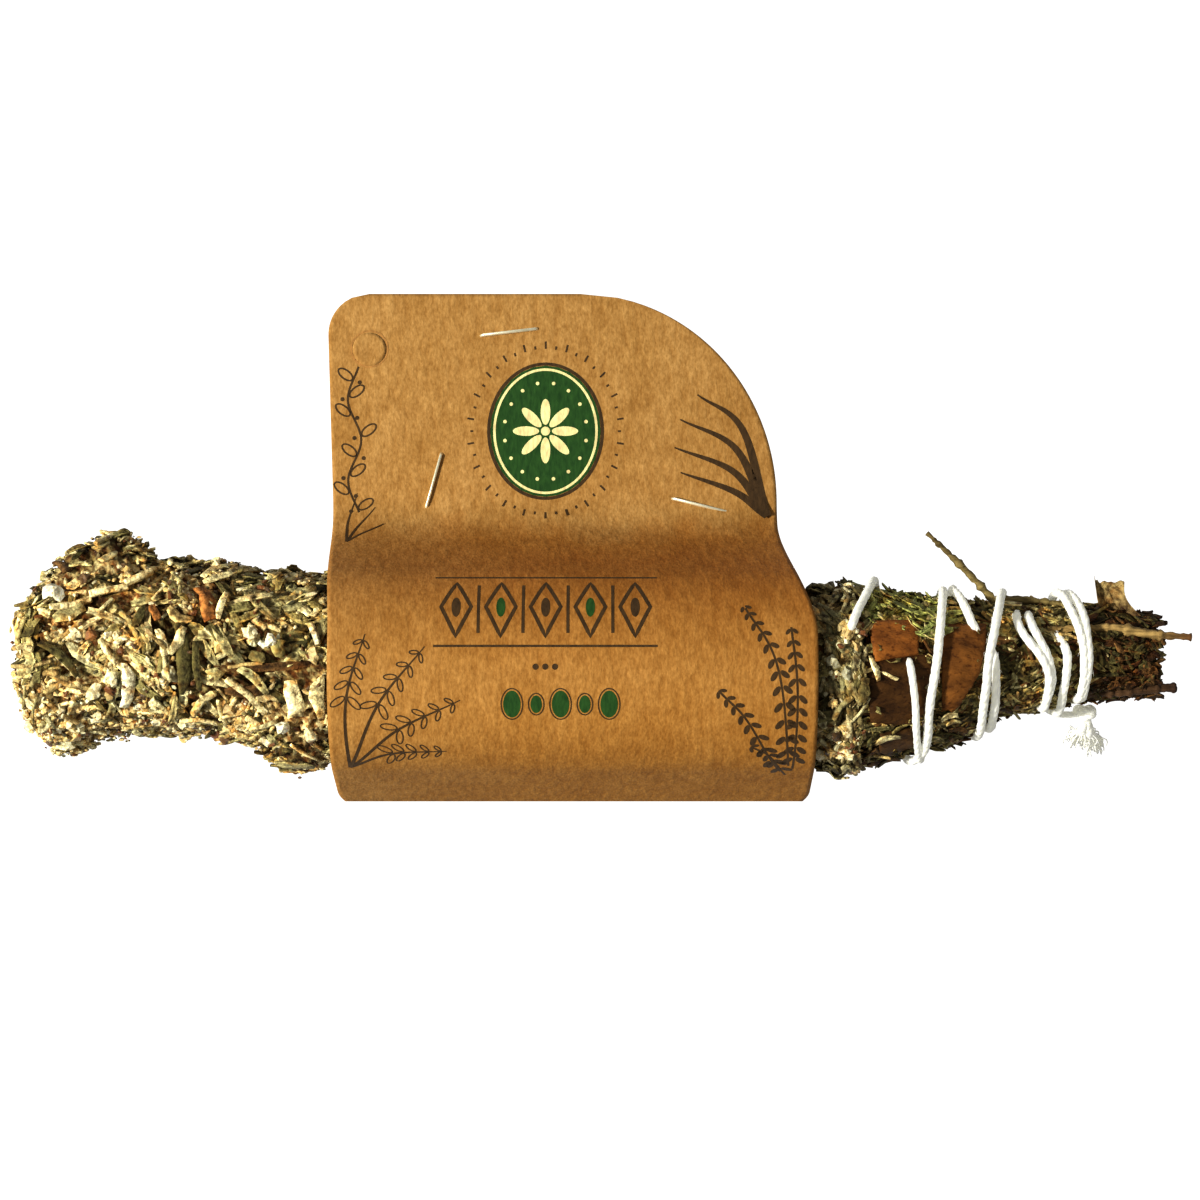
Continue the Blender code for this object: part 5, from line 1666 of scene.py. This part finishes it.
def punch_disc(material):
    """The disc of the hang hole, cut but not pushed out: its left edge stands a little proud."""
    points = []
    x, y = PUNCH_CENTRE
    for level in DISC_LEVELS:
        for share in DISC_RINGS:
            for k in range(DISC_SIDES):
                turn = 2 * math.pi * k / DISC_SIDES
                u, v = share * math.cos(turn), share * math.sin(turn)
                lift = 0.30 * max(0.0, -u - 0.25) + level * (1.0 if share < 1.0 else 0.6)
                points.append(header_place(x + DISC_RADIUS * u, y + DISC_RADIUS * v, lift))
    points += [header_place(x, y, level) for level in DISC_LEVELS]
    faces = disc_faces(len(DISC_RINGS), DISC_SIDES, -1, 0)
    settle(make_mesh("kraft_punch_disc", points, faces, material), "kraft")


# Print on the card: plain shapes in (u, v), sunk a little in the card's face

INK_TOP = 0.045
INK_ROOT = -0.03
# How far cream ink lies over the ink under it
INK_OVER = 0.03
# A filled oval's sides, and how far apart its rings are at most
OVAL_SIDES = 28
OVAL_RING_STEP = 0.45


def on_oval(centre, radii, way):
    """The point of an upright oval at an angle in radians."""
    return centre[0] + radii[0] * math.cos(way), centre[1] + radii[1] * math.sin(way)


def oval_line(centre, radii, turn, sides):
    """Points round an oval that is turned by so many degrees."""
    cos_t, sin_t = math.cos(math.radians(turn)), math.sin(math.radians(turn))
    path = []
    for k in range(sides):
        a, b = on_oval((0.0, 0.0), radii, 2 * math.pi * k / sides)
        path.append((centre[0] + a * cos_t - b * sin_t, centre[1] + a * sin_t + b * cos_t))
    return path


class Print:
    """Strokes, ovals and rings in ink on the card's front, gathered by ink."""

    def __init__(self, front):
        self.front = front
        self.inks = {name: Batch() for name in INKS}

    def ribbon(self, path, width, ink="brown", closed=False, lift=0.0):
        """A stroke along a (u, v) path, with one width or one for each point."""
        count = len(path)
        widths = width if isinstance(width, (list, tuple)) else [width] * count
        points = []
        for k, (u, v) in enumerate(path):
            before = path[k - 1] if closed or k else path[0]
            after = path[(k + 1) % count] if closed or k < count - 1 else path[-1]
            du, dv = after[0] - before[0], after[1] - before[1]
            size = math.hypot(du, dv) or 1.0
            nu, nv = -dv / size * widths[k] / 2, du / size * widths[k] / 2
            for side, above in ((1, INK_TOP), (-1, INK_TOP), (-1, INK_ROOT), (1, INK_ROOT)):
                points.append(self.front.place(u + side * nu, v + side * nv, above + lift))
        faces = []
        for k in range(count if closed else count - 1):
            a, b = 4 * k, 4 * ((k + 1) % count)
            faces += [(a + j, a + (j + 1) % 4, b + (j + 1) % 4, b + j) for j in range(4)]
        if not closed:
            last = 4 * (count - 1)
            faces += [(3, 2, 1, 0), (last, last + 1, last + 2, last + 3)]
        self.inks[ink].add(points, faces, INKS[ink])

    def oval(self, centre, radii, turn=0.0, ink="brown", lift=0.0):
        """A filled oval with its long way turned by so many degrees."""
        rings = max(2, round(min(radii) / OVAL_RING_STEP))
        points = []
        for above in (INK_TOP, INK_ROOT):
            for ring in range(1, rings + 1):
                inner = [r * ring / rings for r in radii]
                for u, v in oval_line(centre, inner, turn, OVAL_SIDES):
                    points.append(self.front.place(u, v, above + lift))
        for above in (INK_TOP, INK_ROOT):
            points.append(self.front.place(*centre, above + lift))
        self.inks[ink].add(points, disc_faces(rings, OVAL_SIDES), INKS[ink])

    def ring(self, centre, radii, width, turn=0.0, ink="brown", lift=0.0, steps=48):
        """A stroke round an oval."""
        self.ribbon(oval_line(centre, radii, turn, steps), width, ink, True, lift)


def curve(points, per_span=8):
    """A smooth (u, v) path through points."""
    return [(p.x, p.y) for p in smooth_path([Vector((u, v, 0)) for u, v in points], per_span)]


def tapered(path, width, least=0.3):
    """Widths that swell from the path's start and narrow to its tip."""
    last = len(path) - 1
    swells = [math.sin(math.pi * min(0.5 + 0.5 * k / last, 1.0)) for k in range(last + 1)]
    return [width * (least + (1 - least) * swell) for swell in swells]


def card_print():
    """A plain pattern: a green badge with a rosette, bands of lozenges and beaded sprays."""
    sheet = Print(CardFront())
    badge(sheet)
    lozenge_band(sheet)
    vine(sheet)
    sprays(sheet)
    for name, batch in sheet.inks.items():
        piece = make_batch("card_print_" + name, batch, ink_material("ink_" + name, INKS[name]))
        settle(piece, "kraft")


BADGE_MIDDLE = (-9.5, 24.4)


def badge(sheet):
    """A green oval with two rims, a rosette, a ring of dots and rays round it."""
    sheet.oval(BADGE_MIDDLE, (9.6, 11.6), 0, "green")
    sheet.ring(BADGE_MIDDLE, (9.9, 11.9), 0.55, ink="brown", steps=80)
    sheet.ring(BADGE_MIDDLE, (8.9, 10.9), 0.45, ink="cream", lift=INK_OVER, steps=80)
    for k in range(8):
        turn = 45.0 * k
        petal = on_oval(BADGE_MIDDLE, (3.4, 3.4), math.radians(turn))
        sheet.oval(petal, (2.3, 0.85), turn, "cream", INK_OVER)
    sheet.oval(BADGE_MIDDLE, (0.8, 0.8), 0, "cream", INK_OVER)
    for k in range(16):
        dot = on_oval(BADGE_MIDDLE, (7.2, 8.6), math.radians(22.5 * k + 11.25))
        sheet.oval(dot, (0.32, 0.32), 0, "cream", INK_OVER)
    for k in range(44):
        way = 2 * math.pi * k / 44
        reach = 1.09 if k % 2 else 1.04
        shares = (1.0, (1.0 + reach) / 2, reach)
        sheet.ribbon([on_oval(BADGE_MIDDLE, (12.6 * s, 14.6 * s), way) for s in shares], 0.32)


# The bands on the card over the stick: their middle in u and the lozenges' size and step
BAND_MIDDLE = -9.0
LOZENGE_V = 70.2
LOZENGE_STEP = 7.4
LOZENGES = 5
OVAL_ROW = (-6.5, 86.8)


def lozenge_band(sheet):
    """Lozenges between two lines, with dots and a row of ovals under them."""
    for v in (63.2, 77.2):
        for side in (-1, 1):
            sheet.ribbon([(BAND_MIDDLE + side * 0.45 * k, v) for k in range(42)], 0.38)
    for k in range(LOZENGES):
        u = BAND_MIDDLE + LOZENGE_STEP * (k - 2)
        corners = ((u, 64.8), (u + 2.5, LOZENGE_V), (u, 75.6), (u - 2.5, LOZENGE_V))
        path = []
        for a, b in zip(corners, corners[1:] + corners[:1]):
            path += [(a[0] + (b[0] - a[0]) * t / 6, a[1] + (b[1] - a[1]) * t / 6) for t in range(6)]
        sheet.ribbon(path, 0.62, closed=True)
        sheet.oval((u, LOZENGE_V), (1.9, 0.75), 90, "green" if k % 2 else "brown")
        if k < LOZENGES - 1:
            sheet.ribbon([(u + LOZENGE_STEP / 2, 65.4 + 0.8 * t) for t in range(13)], 0.5)
    for k in range(5):
        middle = (OVAL_ROW[0] + 4.0 * (k - 2), OVAL_ROW[1])
        size = 1.5 if k % 2 else 2.3
        sheet.oval(middle, (size, size * 0.62), 90, "green")
        sheet.ring(middle, (size + 0.35, size * 0.62 + 0.35), 0.2, 90, "brown", steps=28)
    for k in range(3):
        sheet.oval((BAND_MIDDLE + 1.6 * (k - 1), 80.6), (0.5, 0.5))


def beads(sheet, path, spacing, size, width):
    """A fine line with small ovals set along it."""
    sheet.ribbon(path, width)
    run = 0.0
    for k in range(1, len(path)):
        (u0, v0), (u1, v1) = path[k - 1], path[k]
        run += math.hypot(u1 - u0, v1 - v0)
        if run > spacing * (1.2 - 0.6 * k / len(path)):
            run = 0.0
            turn = math.degrees(math.atan2(v1 - v0, u1 - u0))
            grow = size * (1.15 - 0.6 * k / len(path))
            for side in (-1, 1):
                middle = on_oval((u1, v1), (grow, grow), math.radians(turn + 90 * side))
                sheet.oval(middle, (grow, grow * 0.5), turn - 42 * side)


def vine(sheet):
    """A line of rings and dots down the card's left edge, with short side strokes."""
    punch = (PUNCH_CENTRE[0], CARD_TOP[0] - PUNCH_CENTRE[1])
    # Painted shade: a dark ring where the hang hole's disc is cut
    sheet.ring(punch, (PUNCH_RADIUS, PUNCH_RADIUS), 0.3, ink="cut_ring_shade")
    line = curve(((-42.2, 13.0), (-44.0, 19.0), (-41.6, 26.0), (-43.8, 33.0), (-41.8, 39.0)), 12)
    sheet.ribbon(line, 0.35)
    for k in range(4, len(line), 6):
        u, v = line[k]
        side = 1 if (k // 6) % 2 else -1
        sheet.ring((u + side * 1.5, v - 0.6), (1.5, 0.75), 0.28, -38 * side, steps=24)
        sheet.oval((u - side * 1.0, v + 0.8), (0.36, 0.36))
    for length, lean in ((13.0, 0.10), (11.0, 0.42), (8.5, 0.80)):
        tip = (-43.5 + length * math.sin(lean), 47.0 - length * math.cos(lean) * 0.9)
        middle = ((-43.5 + tip[0]) / 2 - 0.8, (47.5 + tip[1]) / 2)
        path = curve(((-43.5, 47.5), middle, tip), 10)
        sheet.ribbon(path, tapered(path, 0.45))
    root = (-41.8, 101.0)
    for length, lean in ((26.0, 0.12), (27.0, 0.50), (24.0, 0.90), (17.0, 1.28)):
        tip = (root[0] + length * math.sin(lean), root[1] - length * math.cos(lean))
        middle = (0.5 * (root[0] + tip[0]) - 1.6, 0.5 * (root[1] + tip[1]) - 1.6)
        path = curve((root, middle, tip), 14)
        sheet.ribbon(path, tapered(path, 0.55))
        for k in range(len(path) // 2, len(path), 3):
            (u0, v0), (u1, v1) = path[k - 1], path[k]
            turn = math.degrees(math.atan2(v1 - v0, u1 - u0))
            size = 1.5 * (1.4 - k / len(path))
            for side in (-1, 1):
                middle = on_oval((u1, v1), (size, size), math.radians(turn + 90 * side))
                sheet.ring(middle, (size, size * 0.4), 0.22, turn - 50 * side, steps=20)


# The beaded arcs at the card's lower right: tip and middle
BEADED_ARCS = (
    ((24.0, 70.5), (29.5, 82.0)),
    ((31.5, 74.0), (32.5, 86.0)),
    ((19.5, 84.5), (25.0, 91.0)),
    ((25.0, 95.0), (28.5, 98.0)),
)


def sprays(sheet):
    """Plain arcs at the header's right, and beaded arcs at the card's lower right."""
    for reach, rise in ((15.0, 3.0), (16.0, 7.0), (15.0, 11.5), (12.0, 15.5)):
        middle = (29.0 - reach * 0.35, 38.0 - rise * 0.9)
        path = curve(((29.0, 40.0), middle, (29.0 - reach, 35.0 - rise * 1.1)), 12)
        sheet.ribbon(path, tapered(path, 1.5, 0.15))
    for tip, middle in BEADED_ARCS:
        beads(sheet, curve(((32.0, 107.0), middle, tip), 16)[4:], 2.3, 1.0, 0.35)


def staples():
    material = steel_material()
    half = STAPLE_CROWN / 2
    top = STAPLE_WIRE / 2 + 0.15
    bottom = -(2 * CARD_THICKNESS + GAP) - STAPLE_WIRE / 2 - 0.2
    flat = [(-half + STAPLE_LEG_BEND, bottom - 0.05), (-half + 0.5, bottom)]
    flat += [(-half, bottom + 0.4), (-half, top - 0.3), (-half + 0.3, top)]
    outline = flat + [(-u, w) for u, w in reversed(flat)]
    for number, (x, y, turn) in enumerate(STAPLES, 1):
        plane = header_plane() @ Matrix.Rotation(math.radians(turn), 3, "Z")
        path = [header_place(x, y, 0.0) + plane @ Vector((u, 0, w)) for u, w in outline]
        points, faces = swept(path, [STAPLE_WIRE * 0.58] * len(path), 16, 0.85)
        name = f"staple_{number}"
        settle(make_mesh(name + "_wire", points, faces, material), "staple_steel", name)


# Stage


def stage():
    """A floor that glows evenly, so that it stays white behind the stick."""
    bpy.ops.mesh.primitive_plane_add(size=6.0, location=(0, 0, -0.0002))
    floor = bpy.context.object
    floor.name = "floor"
    material, _, shader = new_material("pale_floor", 0.9, 0.0)
    shader.inputs["Base Color"].default_value = (0.1, 0.1, 0.1, 1)
    shader.inputs["Emission Color"].default_value = (1, 1, 1, 1)
    shader.inputs["Emission Strength"].default_value = 1.1
    floor.data.materials.append(material)
    floor.visible_diffuse = False


def area_light(name, place, target, size, power, colour):
    data = bpy.data.lights.new(name, "AREA")
    data.shape = "DISK"
    data.size, data.energy, data.color = size, power, colour
    light = bpy.data.objects.new(name, data)
    light.location = place
    light.rotation_euler = (Vector(target) - Vector(place)).to_track_quat("-Z", "Y").to_euler()
    bpy.context.scene.collection.objects.link(light)


def lights():
    world = bpy.data.worlds.new("studio")
    world.use_nodes = True
    sky = world.node_tree.nodes["Background"]
    sky.inputs["Color"].default_value = (1.0, 0.99, 0.95, 1)
    sky.inputs["Strength"].default_value = 0.33
    bpy.context.scene.world = world
    area_light("key", (-0.79, -0.02, 0.77), (0, 0, 0.01), 0.13, 18.0, (1.0, 0.98, 0.91))


def camera():
    data = bpy.data.cameras.new("photo_camera")
    data.sensor_width = SENSOR
    distance = CAMERA_HEIGHT - AXIS_HEIGHT
    data.lens = SENSOR * distance / VIEW_WIDTH_AT_AXIS
    data.clip_start, data.clip_end = 0.01, 20.0
    made = bpy.data.objects.new("photo_camera", data)
    made.location = (CAMERA_TARGET[0] * MM, CAMERA_TARGET[1] * MM, CAMERA_HEIGHT * MM)
    bpy.context.scene.collection.objects.link(made)
    bpy.context.scene.camera = made


def colours():
    view = bpy.context.scene.view_settings
    view.view_transform = "Standard"
    view.look = "None"
    view.gamma = 0.82


crust_core()
crust_bits()
handle_core()
handle_bits()
bark_chips()
twigs()
leaf_curl()
stems()
string_line, yarn = cotton_string()
string_knot(string_line, yarn)
kraft_card()
card_print()
staples()
stage()
lights()
camera()
colours()

bpy.context.view_layer.update()
